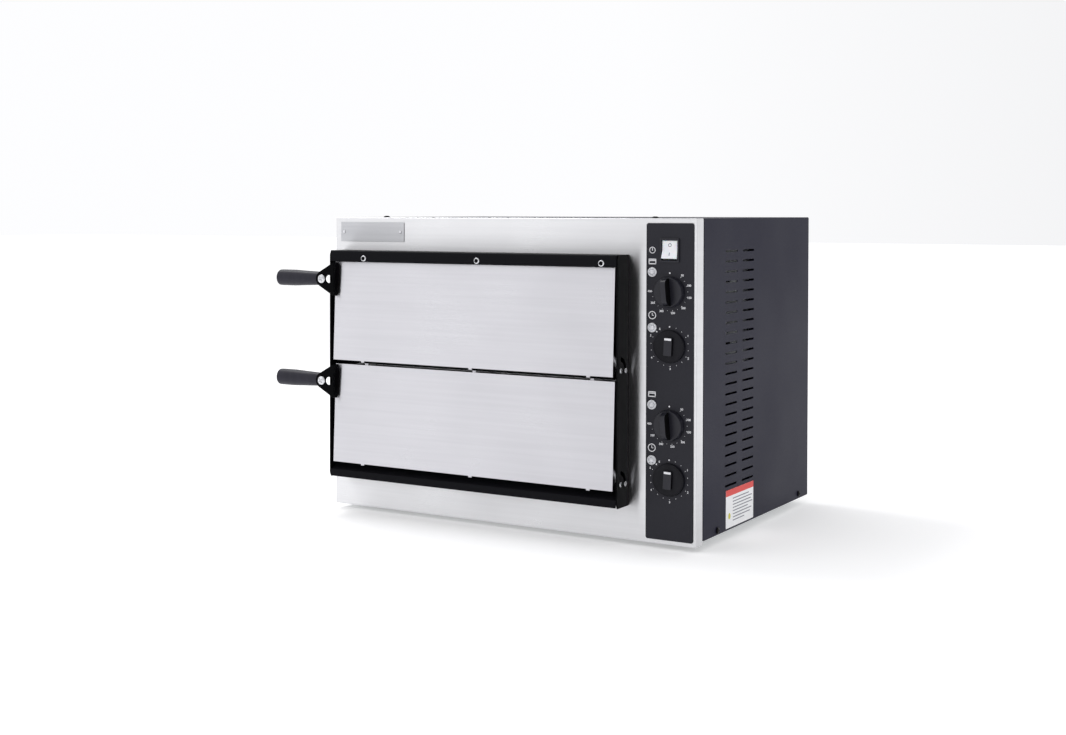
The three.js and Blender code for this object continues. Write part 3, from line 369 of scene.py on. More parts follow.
def paper_label(name, tone):
    graph = Graph(name)
    fibre = graph.noise(0.5, detail=4)
    return graph.surface(
        Base_Color=graph.mix(fibre, tone, scaled(tone, 0.94)),
        Roughness=graph.spread(fibre, 0.3, 0.42), Normal=graph.bump(fibre, 0.004))


def clear_plastic(name):
    """Clear styrene lens, lightly frosted inside so that it catches the light."""
    graph = Graph(name)
    swirl = graph.noise(1.6, detail=3)
    return graph.surface(
        Base_Color=graph.mix(swirl, (0.95, 0.955, 0.98, 1), (0.84, 0.85, 0.9, 1)),
        Roughness=graph.spread(swirl, 0.06, 0.16), IOR=1.5, Transmission_Weight=0.3,
        Normal=graph.bump(swirl, 0.01))


def lamp_reflector(name):
    """Bright moulded cup behind the lens, faceted in small cells."""
    graph = Graph(name)
    facets = graph.cells(1.1, randomness=0.35)
    return graph.surface(
        Base_Color=graph.mix(facets, (0.86, 0.86, 0.88, 1), (0.6, 0.6, 0.63, 1)),
        Metallic=0.55, Roughness=graph.spread(facets, 0.16, 0.34),
        Normal=graph.bump(facets, 0.12))


def rocker_plastic(name):
    """White translucent moulding, a little cloudy under its gloss."""
    graph = Graph(name)
    cloud = graph.noise((5, 5, 12), detail=3)
    grain = graph.noise(0.5, detail=2)
    return graph.surface(
        Base_Color=graph.mix(cloud, (0.9, 0.9, 0.92, 1), (0.76, 0.77, 0.82, 1)),
        Roughness=graph.spread(grain, 0.2, 0.3), Subsurface_Weight=0.15, Subsurface_Scale=0.002,
        Coat_Weight=0.3, Coat_Roughness=0.12, Normal=graph.bump(grain, 0.004))


def foot_rubber(name):
    graph = Graph(name)
    skin = graph.noise(0.7, detail=4, roughness=0.65)
    dust = graph.noise(12, detail=3)
    dusted = graph.spread(dust, 0, 0.5, 0.45, 0.8)
    return graph.surface(
        Base_Color=graph.mix(dusted, (0.012, 0.012, 0.012, 1), (0.05, 0.048, 0.045, 1)),
        Roughness=graph.spread(skin, 0.7, 0.9), Normal=graph.bump(skin, 0.03))


STAINLESS = brushed_steel("stainless", (0.77, 0.77, 0.785, 1), (0.745, 0.745, 0.76, 1), 0.3)
# same steel as the front panel, made darker on the doors and their tabs: painted shade
SHADED_DOOR_STEEL = brushed_steel("door_stainless_shaded", (0.625, 0.62, 0.65, 1), (0.6, 0.595, 0.625, 1), 0.3)
PLATE_STEEL = brushed_steel("nameplate_steel", (0.7, 0.705, 0.73, 1), (0.66, 0.665, 0.69, 1), 0.44)
COVER_PAINT = powder_coat("cover_paint", (0.0115, 0.0115, 0.026, 1), 0.46, 0.075, 0.9)
FRAME_PAINT = powder_coat("frame_paint", (0.002, 0.002, 0.0025, 1), 0.42, 0.025, 1.1)
# the frame's one black paint, lighter and glossier on the bars: painted light on their rolled top and sill
LIT_BAR_PAINT = powder_coat("lit_bar_paint", (0.006, 0.006, 0.0075, 1), 0.42, 0.04, 1.1)
ALUMINISED = aluminised_sheet("aluminised")
GALVANISED = galvanised_sheet("galvanised")
FIRECLAY = fireclay("fireclay")
WOOL = mineral_wool("mineral_wool")
SHEATH = element_sheath("element_sheath")
KNOB_PLASTIC = moulded_plastic("control_plastic", (0.0105, 0.0105, 0.0165, 1), 0.34, 0.006, 0.34)
# darker, duller copy of the knob plastic for the timer discs: painted shade on the dished face
KNOB_SHADED_DISH = moulded_plastic("control_plastic_shaded_dish", (0.005, 0.005, 0.0075, 1), 0.4, 0.01, 0.14)
# near-black, dull copy of the knob plastic: painted shade on the grips' sides and undersides
KNOB_PAINTED_SHADE = moulded_plastic("control_plastic_painted_shade", (0.0015, 0.0015, 0.002, 1), 0.6, 0.02, 0.03)
GRIP_PLASTIC = moulded_plastic("bakelite", (0.0135, 0.013, 0.0215, 1), 0.4, 0.012, 0.25)
GLAND_PLASTIC = moulded_plastic("gland_nylon", (0.012, 0.012, 0.013, 1), 0.55, 0.012)
BODY_PLASTIC = moulded_plastic("switch_body_plastic", (0.72, 0.7, 0.64, 1), 0.5, 0.01)
BRIGHT_ZINC = plated_steel("zinc_steel", (0.74, 0.745, 0.77, 1), 0.24)
BLACK_ZINC = plated_steel("black_steel", (0.012, 0.012, 0.013, 1), 0.4)
FILM = printed_film("overlay_film", (0.0075, 0.0075, 0.0135, 1))
WHITE_INK = printing_ink("white_ink", (0.8, 0.8, 0.83, 1))
GREY_INK = printing_ink("grey_ink", (0.2, 0.21, 0.26, 1))
RED_INK = printing_ink("red_ink", (0.8, 0.05, 0.04, 1))
YELLOW_INK = printing_ink("yellow_ink", (0.66, 0.62, 0.05, 1))
LABEL = paper_label("label_film", (0.97, 0.975, 0.99, 1))
CLEAR = clear_plastic("clear_lens")
REFLECTOR = lamp_reflector("lamp_reflector")
ROCKER_WHITE = rocker_plastic("white_plastic")
RUBBER = foot_rubber("rubber")


# ---------- meshes


def placed(origin, axis, twist=0.0):
    """Matrix from local millimetres, z along axis and y as near up as it goes, to the frame."""
    turn = axis.to_track_quat("Z", "Y").to_matrix().to_4x4()
    return (Matrix.Translation(origin) @ turn @ Matrix.Rotation(twist, 4, "Z")
            @ Matrix.Diagonal((MM, MM, MM, 1)))


NEARLY_STRAIGHT = math.radians(172)
LONGEST_REACH = 0.48  # of a side, for one corner's arc


def rounded(points, radius, closed=True, steps=5):
    """Outline with its corners turned into arcs, smaller where the sides are short."""
    outline = []
    count = len(points)
    for index, point in enumerate(points):
        corner = Vector(point)
        if not closed and index in (0, count - 1):
            outline.append(corner)
            continue
        before = Vector(points[index - 1]) - corner
        after = Vector(points[(index + 1) % count]) - corner
        opening = before.angle(after)
        if opening > NEARLY_STRAIGHT:
            outline.append(corner)
            continue
        shorter = min(before.length, after.length)
        reach = min(radius / math.tan(opening / 2), LONGEST_REACH * shorter)
        fitted = reach * math.tan(opening / 2)
        inward = (before.normalized() + after.normalized()).normalized()
        centre = corner + inward * (fitted / math.sin(opening / 2))
        first = corner + before.normalized() * reach - centre
        last = corner + after.normalized() * reach - centre
        sweep = math.pi - opening
        for step in range(steps + 1):
            share = step / steps
            swing = first * math.sin((1 - share) * sweep) + last * math.sin(share * sweep)
            outline.append(centre + swing / math.sin(sweep))
    return outline


def rectangle(width, height, centre=(0, 0)):
    x, y = centre
    return [
        (x - width / 2, y - height / 2), (x + width / 2, y - height / 2),
        (x + width / 2, y + height / 2), (x - width / 2, y + height / 2),
    ]


def circle(radius, centre=(0, 0), sides=48):
    return [
        Vector((centre[0] + radius * math.cos(turn), centre[1] + radius * math.sin(turn)))
        for turn in (2 * math.pi * side / sides for side in range(sides))
    ]


def add_rim(bm, outline, height):
    return [bm.verts.new((x, y, height)) for x, y in outline]


def join_rims(bm, rims):
    """Adds the faces between each rim and the next, where a rim may be a single point."""
    for rim, following in zip(rims, rims[1:]):
        for side in range(max(len(rim), len(following))):
            after = side + 1
            corners = [rim[side % len(rim)], rim[after % len(rim)],
                       following[after % len(following)], following[side % len(following)]]
            bm.faces.new(list(dict.fromkeys(corners)))


def add_prism(bm, outline, low, high):
    """Local outline in x and y, as a solid from z = low to z = high."""
    bottom, top = add_rim(bm, outline, low), add_rim(bm, outline, high)
    bm.faces.new(list(reversed(bottom)))
    bm.faces.new(top)
    join_rims(bm, [bottom, top])


def add_ring(bm, outer, inner, low, high):
    """Flat ring in x and y."""
    rims = [
        add_rim(bm, circle(radius), z)
        for radius, z in ((outer, low), (outer, high), (inner, high), (inner, low))
    ]
    join_rims(bm, rims + rims[:1])


ON_AXIS = 1e-6


def turned(profile, sides=64):
    """Solid of a profile of (radius, height) turned about local z, from axis to axis."""
    bm = bmesh.new()
    join_rims(bm, [
        add_rim(bm, circle(radius, sides=sides) if radius > ON_AXIS else [(0, 0)], height)
        for radius, height in profile
    ])
    bmesh.ops.recalc_face_normals(bm, faces=bm.faces)
    return bm


def soft_turned(profile, edge, sides):
    """Turned solid with the profile's corners rounded."""
    return turned(rounded(profile, edge, closed=False), sides)


def prism(outline, low, high):
    bm = bmesh.new()
    add_prism(bm, outline, low, high)
    return bm


def object_of(bm, name, matrix=None):
    if matrix is not None:
        bm.transform(matrix)
    mesh = bpy.data.meshes.new(name)
    bm.to_mesh(mesh)
    bm.free()
    return in_scene(name, mesh)


def evaluated_mesh(source):
    """Mesh of an object with its modifiers or its text worked out."""
    bpy.context.view_layer.update()
    evaluated = source.evaluated_get(bpy.context.evaluated_depsgraph_get())
    return bpy.data.meshes.new_from_object(evaluated)


def carved(piece, cutter):
    """The piece with the cutter's shape taken out of it."""
    cut = piece.modifiers.new("cut", "BOOLEAN")
    cut.operation = "DIFFERENCE"
    cut.solver = "EXACT"
    cut.object = cutter
    piece.data = evaluated_mesh(piece)
    piece.modifiers.clear()
    bpy.data.objects.remove(cutter)
    return piece


BEVEL_ANGLE = math.radians(35)


def bevelled(piece, width, segments=3):
    """Rounded edges, width in millimetres."""
    edge = piece.modifiers.new("edges", "BEVEL")
    edge.width = width * MM
    edge.segments = segments
    edge.limit_method = "ANGLE"
    edge.angle_limit = BEVEL_ANGLE
    edge.use_clamp_overlap = True
    return piece


FLAT_WEIGHT = 80  # how strongly broad faces hold the shading flat


def dress(piece, materials, body, stands_for=()):
    """Gives a new piece its materials, shading and body, and hides the CAD nodes it stands for."""
    for material in materials:
        piece.data.materials.append(material)
    piece.data.shade_smooth()
    level = piece.modifiers.new("flats", "WEIGHTED_NORMAL")
    level.keep_sharp = True
    level.weight = FLAT_WEIGHT
    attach(piece, body)
    if stands_for:
        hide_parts(*stands_for)
    return piece


def dress_part(piece, material, node):
    """Dresses a piece that belongs with one CAD node."""
    return dress(piece, [material], BODY_OF[node])


def stand_in(piece, material, node):
    """Dresses a piece that takes the place of one CAD node."""
    return dress(piece, [material], BODY_OF[node], [node])


SAME_PLACE = 2e-6
BROAD_FACE = 4 * MM
FOLD_ANGLE = math.radians(40)
FLAT_ANGLE = math.radians(1)
SHARP_ANGLE = math.radians(30)


def is_hull_face(face, points):
    heights = points @ np.array(face.normal)
    own_height = np.dot(np.array(face.normal), np.array(face.verts[0].co))
    return heights.max() <= own_height + SAME_PLACE


def outer_folds(bm):
    """Edges where two broad outer faces of a folded sheet meet."""
    points = np.array([vertex.co for vertex in bm.verts])
    hull = {face for face in bm.faces if is_hull_face(face, points)}

    def is_fold(edge):
        if not edge.is_manifold or edge.calc_face_angle() < FOLD_ANGLE:
            return False
        return all(
            face in hull and face.calc_area() / edge.calc_length() > BROAD_FACE
            for face in edge.link_faces)

    return [edge for edge in bm.edges if is_fold(edge)]


def sharp_edges(bm):
    return [
        edge for edge in bm.edges
        if edge.is_manifold and edge.calc_face_angle() > SHARP_ANGLE
    ]


def bend_edges(bm, edges, width, segments):
    """Rounds edges over a width in millimetres."""
    bmesh.ops.bevel(bm, geom=edges, offset=width * MM, offset_type="OFFSET", segments=segments,
                    profile=0.5, affect="EDGES", clamp_overlap=True)
    bm.normal_update()


def softened(node, fold=0.0, edge=0.15, edge_segments=2):
    """Copy of a CAD node's shape with its flat faces whole, its outer folds bent to a radius
    and its other edges broken, all in millimetres."""
    bm = bmesh.new()
    bm.from_mesh(frame["nodes"][node].data)
    bmesh.ops.remove_doubles(bm, verts=bm.verts, dist=SAME_PLACE)
    bmesh.ops.dissolve_limit(bm, angle_limit=FLAT_ANGLE, verts=bm.verts, edges=bm.edges)
    bm.normal_update()
    if fold:
        bend_edges(bm, outer_folds(bm), fold, 5)
    bend_edges(bm, sharp_edges(bm), edge, edge_segments)
    return object_of(bm, node + "_finished")


def refine(node, material, **edges):
    """Puts a softened copy of a CAD node in its place."""
    return stand_in(softened(node, **edges), material, node)


# ---------- screws


def hexagon(across_flats):
    return circle(across_flats / math.sqrt(3), sides=6)


def plus_sign(length, width):
    arm, half = length / 2, width / 2
    return [
        (half, -arm), (half, -half), (arm, -half), (arm, half), (half, half), (half, arm),
        (-half, arm), (-half, half), (-arm, half), (-arm, -half), (-half, -half), (-half, -arm),
    ]


DOME_STEPS = 8
HEAD_RIM = 0.28  # straight part of a head's side, as a share of its height
SOCKET_SIZE = 1.25  # across the flats, as a share of the head's radius
CROSS_LENGTH, CROSS_WIDTH = 1.15, 0.24
CROSS_FLOOR = 0.3  # as a share of the head's height


def quarter_turn():
    """Angles from level to straight up."""
    return [step / DOME_STEPS * math.pi / 2 for step in range(DOME_STEPS + 1)]


def screw_head(name, origin, axis, radius, height, drive, twist=0.3):
    """Domed head standing on origin, with an open hexagon socket or a cross recess."""
    rim, rise = HEAD_RIM * height, (1 - HEAD_RIM) * height
    crown = [(0, 0), (radius, 0)]
    crown += [(radius * math.cos(turn), rim + rise * math.sin(turn)) for turn in quarter_turn()]
    head = object_of(turned(crown, 40), name, placed(origin, axis))
    if drive == "hexagon":
        cutter = prism(hexagon(radius * SOCKET_SIZE), -height, 2 * height)
    else:
        cross = plus_sign(radius * CROSS_LENGTH, radius * CROSS_WIDTH)
        cutter = prism(cross, CROSS_FLOOR * height, 2 * height)
    return carved(head, object_of(cutter, name + "_cutter", placed(origin, axis, twist)))


# ---------- shell

LIP_START = 21.7  # behind the panel's front, in millimetres
SHEET_FOLD = 1.4
COVER_SCREW_HEIGHT = 2.6
REAR_SCREW_RADIUS, REAR_SCREW_HEIGHT, REAR_SCREW_INSET = 4, 1.9, 9


def add_front_panel():
    """Stainless panel whose rear lip, inside the cover, gets the black frame paint as painted shade in the joint
    between panel and cover.
    """
    panel = refine("front_panel", STAINLESS, fold=SHEET_FOLD)
    # black paint on the stainless lip: painted shade in the joint with the cover
    panel.data.materials.append(FRAME_PAINT)
    shaded_lip_starts = SHELL.y + LIP_START * MM
    for face in panel.data.polygons:
        if face.center.y > shaded_lip_starts:
            face.material_index = 1


def add_sheet_pieces():
    refine("outer_cover", COVER_PAINT, fold=SHEET_FOLD, edge=0.3)
    refine("rear_panel", COVER_PAINT, edge=0.2)
    refine("base_plate", GALVANISED, edge=0.2)
    for deck in DECKS:
        refine(f"{deck}_chamber", ALUMINISED, edge=0.25)


def add_cover_screws():
    """Screws in the cover's top and right side, and their twins on the left."""
    cover_low, cover_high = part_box("outer_cover")
    height = COVER_SCREW_HEIGHT
    for node in ("cover_screw_top_left", "cover_screw_top_right"):
        origin = middle(node, z=cover_high.z)
        head = screw_head(node + "_head", origin, UP, extent(node).x / 2, height, "cross")
        stand_in(head, BLACK_ZINC, node)
    for node in ("cover_screw_side_front", "cover_screw_side_rear"):
        radius = extent(node).z / 2
        origin = middle(node, x=cover_high.x)
        head = screw_head(node + "_head", origin, RIGHT, radius, height, "cross")
        stand_in(head, BLACK_ZINC, node)
        origin = middle(node, x=cover_low.x)
        twin = screw_head(node + "_left_head", origin, LEFT, radius, height, "cross", 0.9)
        dress(twin, [BLACK_ZINC], "shell")


def add_rear_screws():
    panel_low, panel_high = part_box("rear_panel")
    inset = REAR_SCREW_INSET * MM
    columns = [panel_low.x + inset, (panel_low.x + panel_high.x) / 2, panel_high.x - inset]
    rows = [panel_low.z + inset, panel_high.z - inset]
    for row, z in enumerate(rows):
        for column, x in enumerate(columns):
            origin = Vector((x, panel_high.y, z))
            name = f"rear_screw_{row}_{column}"
            twist = 0.4 + row + 0.7 * column  # each screw stops at another angle
            head = screw_head(name, origin, REAR, REAR_SCREW_RADIUS, REAR_SCREW_HEIGHT, "cross", twist)
            dress(head, [BLACK_ZINC], "shell")


def add_feet():
    """Tapered rubber feet, each with a screw hole in its underside."""
    hole_radius, hole_depth, base_inset = 3.2, 2.5, 3
    for node in [f"foot_{row}_{side}" for row in ("front", "rear") for side in ("left", "right")]:
        height = extent(node).z
        radius = extent(node).x / 2
        profile = [
            (0, hole_depth), (hole_radius, hole_depth), (hole_radius, 0), (radius - base_inset, 0),
            (radius - 1.2, height * 0.75), (radius, height), (0, height),
        ]
        origin = middle(node, z=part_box(node)[0].z)
        foot = object_of(soft_turned(profile, 0.8, 48), node + "_rubber", placed(origin, UP))
        stand_in(foot, RUBBER, node)


NUT_FLATS, NUT_TOP = 22.4, 5.5
GLAND_BORE = 4.6
FLUTES, FLUTE_DEPTH = 20, 0.03  # the depth is a share of the radius
FLUTED_OUTSIDE, PLAIN_END = 9.5, 2.4


def cut_flutes(bm, length):
    """Draws in the side of the gland's dome at even steps round it."""
    for vertex in bm.verts:
        radius = math.hypot(vertex.co.x, vertex.co.y)
        if radius > FLUTED_OUTSIDE and vertex.co.z < length - PLAIN_END:
            turn = math.atan2(vertex.co.y, vertex.co.x)
            shrink = 1 - FLUTE_DEPTH * (1 + math.cos(FLUTES * turn)) / 2
            vertex.co.x *= shrink
            vertex.co.y *= shrink


def add_cable_gland():
    panel_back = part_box("rear_panel")[1].y
    plane = placed(middle("cable_gland", y=panel_back), REAR)
    length = (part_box("cable_gland")[1].y - panel_back) / MM
    nut = object_of(prism(hexagon(NUT_FLATS), 0.3, NUT_TOP), "cable_gland_nut", plane)
    dress(bevelled(nut, 0.5), [GLAND_PLASTIC], "shell")
    bm = soft_turned([
        (GLAND_BORE, NUT_TOP), (11, NUT_TOP), (10.8, length - 3.2), (8.6, length),
        (GLAND_BORE, length), (GLAND_BORE, NUT_TOP),
    ], 0.6, FLUTES * 6)
    cut_flutes(bm, length)
    stand_in(object_of(bm, "cable_gland_dome", plane), GLAND_PLASTIC, "cable_gland")


# ---------- controls

OVERLAY_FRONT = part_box("control_overlay")[0].y
DIAL_X = middle("switch_housing").x
KNOB_STANDOFF = 0.8
INK_LOW, INK_HIGH = 0.01, 0.07
INK_LINE = 0.9
FIGURE_SIZE, FIGURE_WEIGHT = 3.9, 0.09
ICON_ABOVE_HEAT_LAMP = 14.0
ICON_ABOVE_TIMER_LAMP = 16.4


def on_overlay(x, z):
    """Local plane on the control film, centred on a point given by the frame's x and z."""
    return placed(Vector((x, OVERLAY_FRONT, z)), FRONT)


def add_lettering(bm, text, size, centre, matrix):
    """Adds filled figures to bm, centred on a local point."""
    curve = bpy.data.curves.new("figures", "FONT")
    curve.body = text
    curve.size = size
    curve.align_x = "CENTER"
    curve.align_y = "CENTER"
    curve.extrude = (INK_HIGH - INK_LOW) / 2
    curve.offset = FIGURE_WEIGHT
    curve.resolution_u = 3
    source = in_scene("figures", curve)
    mesh = evaluated_mesh(source)
    mesh.transform(matrix @ Matrix.Translation((*centre, (INK_HIGH + INK_LOW) / 2)))
    bm.from_mesh(mesh)
    bpy.data.objects.remove(source)
    bpy.data.meshes.remove(mesh)


def add_mark(bm, build, matrix):
    """Adds a local shape made by build(bm) to bm, in the frame."""
    shape = bmesh.new()
    build(shape)
    shape.transform(matrix)
    mesh = bpy.data.meshes.new("mark")
    shape.to_mesh(mesh)
    shape.free()
    bm.from_mesh(mesh)
    bpy.data.meshes.remove(mesh)


def add_flat(bm, outline, matrix):
    add_mark(bm, lambda shape: add_prism(shape, outline, INK_LOW, INK_HIGH), matrix)


def add_circle_line(bm, radius, width, matrix):
    outer, inner = radius + width / 2, radius - width / 2
    add_mark(bm, lambda shape: add_ring(shape, outer, inner, INK_LOW, INK_HIGH), matrix)


def dial_point(degrees, radius):
    """Local point on a dial, degrees clockwise from its top."""
    turn = math.radians(degrees)
    return (radius * math.sin(turn), radius * math.cos(turn))


def add_dot(bm, degrees, size, radius, matrix):
    add_flat(bm, circle(size / 2, dial_point(degrees, radius), 16), matrix)


def print_thermostat_dial(bm, matrix):
    dot_radius, figure_radius = 24.8, 28.0
    add_dot(bm, 0, 2.2, dot_radius, matrix)
    first, step = 38.0, 33.2
    for index, figure in enumerate(range(50, 401, 50)):
        angle = first + index * step
        add_dot(bm, angle, 1.0, dot_radius, matrix)
        if index:
            add_dot(bm, angle - step / 2, 0.8, dot_radius, matrix)
        add_lettering(bm, str(figure), FIGURE_SIZE, dial_point(angle, figure_radius), matrix)


def print_timer_dial(bm, matrix):
    dots, step = 17, 19.8
    dot_radius, figure_radius = 26.0, 29.5
    for index in range(dots):
        size = 2.0 if index in (0, dots - 1) else 1.0
        add_dot(bm, index * step, size, dot_radius, matrix)
        if index % 3 == 0 and index:
            figure = str(index // 3)
            add_lettering(bm, figure, FIGURE_SIZE, dial_point(index * step, figure_radius), matrix)
    add_lettering(bm, "6", FIGURE_SIZE, dial_point(329, dot_radius + 0.5), matrix)


def print_power_icon(bm, matrix):
    add_circle_line(bm, 3.9, INK_LINE, matrix)
    add_flat(bm, rectangle(INK_LINE, 3.4, (0, 0.9)), matrix)


def print_deck_icon(bm, matrix):
    """Front of an oven: a frame of four bars with one shelf bar in it."""
    level, upright, shelf = (10.6, 1.3), (1.2, 6.4), (8.6, 1.1)
    bars = [(level, (0, 3)), (level, (0, -3)), (upright, (-4.7, 0)), (upright, (4.7, 0)),
            (shelf, (0, 1.2))]
    for size, centre in bars:
        add_flat(bm, rounded(rectangle(*size, centre), 0.4), matrix)


def print_clock_icon(bm, matrix):
    add_circle_line(bm, 4.9, 1.0, matrix)
    add_flat(bm, rectangle(INK_LINE, 3.4, (0, 1.3)), matrix)
    add_flat(bm, rectangle(2.6, INK_LINE, (0.9, -0.2)), matrix)


def add_overlay():
    refine("control_overlay", FILM, edge=0.12)
    bm = bmesh.new()
    lamp_x = middle("upper_heat_lamp").x
    print_power_icon(bm, on_overlay(lamp_x, middle("switch_housing").z))
    for deck in DECKS:
        print_thermostat_dial(bm, on_overlay(DIAL_X, middle(f"{deck}_thermostat_knob").z))
        print_timer_dial(bm, on_overlay(DIAL_X, middle(f"{deck}_timer_knob").z))
        heat_z = middle(f"{deck}_heat_lamp").z + ICON_ABOVE_HEAT_LAMP * MM
        timer_z = middle(f"{deck}_timer_lamp").z + ICON_ABOVE_TIMER_LAMP * MM
        print_deck_icon(bm, on_overlay(lamp_x, heat_z))
        print_clock_icon(bm, on_overlay(lamp_x, timer_z))
    dress(object_of(bm, "overlay_print"), [WHITE_INK], "shell")


def knob_plane(node, twist=0.0):
    return placed(middle(node, y=OVERLAY_FRONT - KNOB_STANDOFF * MM), FRONT, twist)


def proud_of_film(node):
    """How far a node stands out of the control film, in millimetres."""
    return (OVERLAY_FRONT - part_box(node)[0].y) / MM


THERMOSTAT_REST_TURN = math.radians(4.7)
TIMER_REST_TURN = math.radians(-2.5)
KNOB_EDGE = 0.6
KNOB_SIDES = 96
# shares of a face's direction, over which it looks a way and under which it doesn't look up
LOOKING, LEVEL = 0.8, 0.3
# from local x, y, z to y, z, x, so that a prism's outline stands in the plane of y and z
STANDING = Matrix(((0, 0, 1, 0), (1, 0, 0, 0), (0, 1, 0, 0), (0, 0, 0, 1)))


def arched(reach, flat, low, top, steps=9):
    """Side view of a ridge that is level in the middle and rounded down at both ends."""
    end = []
    for step in range(steps + 1):
        share = step / steps
        end.append((
            reach - (reach - flat) * share ** 2,
            low + (top - low) * (1 - (1 - share) ** 2),
        ))
    right_end = [(reach, low - 1)] + end
    return right_end + [(-along, height) for along, height in reversed(right_end)]


def finish_grip(piece, plane, node):
    """Dresses a knob's grip. The faces that look sideways or down get a near-black, dull copy of its plastic as
    painted shade.
    """
    dress(bevelled(piece, KNOB_EDGE, 4), [KNOB_PLASTIC, KNOB_PAINTED_SHADE], BODY_OF[node])
    inward = plane.to_3x3().inverted_safe()
    for face in piece.data.polygons:
        normal = (inward @ face.normal).normalized()
        looks_down = normal.y < -LOOKING and normal.z < LEVEL
        if abs(normal.x) > LOOKING or looks_down:
            face.material_index = 1


def knob_disc(profile, node, plane):
    return object_of(soft_turned(profile, KNOB_EDGE, KNOB_SIDES), node + "_finished", plane)


def add_thermostat_knob(deck):
    """Disc with a tall finger ridge across it."""
    node = f"{deck}_thermostat_knob"
    radius, disc_height, ridge_width = 20.6, 7.2, 7.3
    top = proud_of_film(node) - KNOB_STANDOFF
    plane = knob_plane(node, THERMOSTAT_REST_TURN)
    disc = knob_disc([
        (0, 0), (radius - 0.6, 0), (radius, 1.2), (radius - 1.5, disc_height), (0, disc_height),
    ], node, plane)
    stand_in(disc, KNOB_PLASTIC, node)
    side = arched(radius - 2.4, 0.4 * radius, disc_height, top)
    ridge = prism(side, -ridge_width / 2, ridge_width / 2)
    finish_grip(object_of(ridge, node + "_ridge", plane @ STANDING), plane, node)


def add_timer_knob(deck):
    """Low rimmed disc with a bar on it, and a white mark at the bar's end."""
    node = f"{deck}_timer_knob"
    disc_height, rim_width, dish = 3.6, 1.6, 0.4
    bar_width, bar_length, mark_width, mark_length = 11.5, 24.3, 9.4, 2.8
    radius = extent(node).x / 2
    top = proud_of_film(node) - KNOB_STANDOFF
    plane = knob_plane(node, TIMER_REST_TURN)
    disc = knob_disc([
        (0, 0), (radius - 0.6, 0), (radius, 1.0), (radius - 0.6, disc_height),
        (radius - rim_width, disc_height), (radius - rim_width - dish, disc_height - dish),
        (0, disc_height - dish),
    ], node, plane)
    # the disc takes the darker copy of the knob plastic, as painted shade
    stand_in(disc, KNOB_SHADED_DISH, node)
    bar = prism(rounded(rectangle(bar_width, bar_length), 1.6), 1, top)
    finish_grip(object_of(bar, node + "_grip", plane), plane, node)
    mark = rounded(rectangle(mark_width, mark_length, (0, 9.8)), 0.3)
    piece = object_of(prism(mark, top - 0.5, top + INK_LOW), node + "_mark", plane)
    dress(piece, [WHITE_INK], BODY_OF[node])


def add_lamp(node):
    """Clear domed lens with a raised rim, over a bright cup."""
    dome_radius, dome_base, film_gap = 3.6, 1.2, 0.35
    radius = extent(node).x / 2
    plane = placed(middle(node, y=OVERLAY_FRONT), FRONT)
    rise = proud_of_film(node) - dome_base
    dome = [
        (dome_radius * math.cos(turn), dome_base + rise * math.sin(turn))
        for turn in quarter_turn()
    ]
    rim = rounded([
        (0, film_gap), (radius - 0.2, film_gap), (radius, 1.0), (5.4, 2.0), (4.8, 2.0), (4.3, 0.6),
        (3.7, 0.6),
    ], 0.3, closed=False)
    stand_in(object_of(turned(rim + dome, 48), node + "_lens", plane), CLEAR, node)
    cup = soft_turned([
        (0, -1.6), (2.2, -1.6), (3.9, 0.2), (radius - 0.4, 0.28), (radius - 0.4, 0.05), (0, 0.05),
    ], 0.1, 32)
    dress_part(object_of(cup, node + "_reflector", plane), REFLECTOR, node)


def facet(node, upper):
    """Centre and outward direction of the upper or lower front facet of the rocker."""
    split = middle(node).z
    chosen = [
        face for face in frame["nodes"][node].data.polygons
        if face.normal.y < -LOOKING and (face.center.z > split) == upper
    ]
    area = sum(face.area for face in chosen)
    centre = sum((face.center * face.area for face in chosen), Vector()) / area
    return centre, chosen[0].normal.copy()


def add_switch():
    refine("switch_housing", KNOB_PLASTIC, edge=0.5, edge_segments=3)
    refine("switch_rocker", ROCKER_WHITE, edge=0.7, edge_segments=3)
    ring, bar = bmesh.new(), bmesh.new()
    add_circle_line(ring, 2.0, INK_LINE, placed(*facet("switch_rocker", upper=True)))
    add_flat(bar, rectangle(1.1, 4.2), placed(*facet("switch_rocker", upper=False)))
    for name, mark in (("off", ring), ("on", bar)):
        dress(object_of(mark, f"switch_{name}_mark"), [GREY_INK], "rocker")


def add_controls():
    add_overlay()
    for deck in DECKS:
        add_thermostat_knob(deck)
        add_timer_knob(deck)
        add_lamp(f"{deck}_heat_lamp")
        add_lamp(f"{deck}_timer_lamp")
    add_switch()


# ---------- plates and labels


RIVET_INSET = 6
LABEL_BAND = 8.6
LABEL_BARS = (62, 74, 70, 76, 58, 72, 66, 44)
BAR_HEIGHT, BAR_PITCH = 1.3, 4.3


def add_nameplate():
    node = "nameplate"
    refine(node, PLATE_STEEL, edge=0.2)
    low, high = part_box(node)
    inset = RIVET_INSET * MM
    dome = [(0, 0), (2.4, 0), (2.1, 0.9), (0, 1.5)]
    for side, x in (("left", low.x + inset), ("right", high.x - inset)):
        plane = placed(middle(node, x=x, y=low.y), FRONT)
        rivet = object_of(soft_turned(dome, 0.7, 32), f"nameplate_rivet_{side}", plane)
        dress(rivet, [BRIGHT_ZINC], "shell")


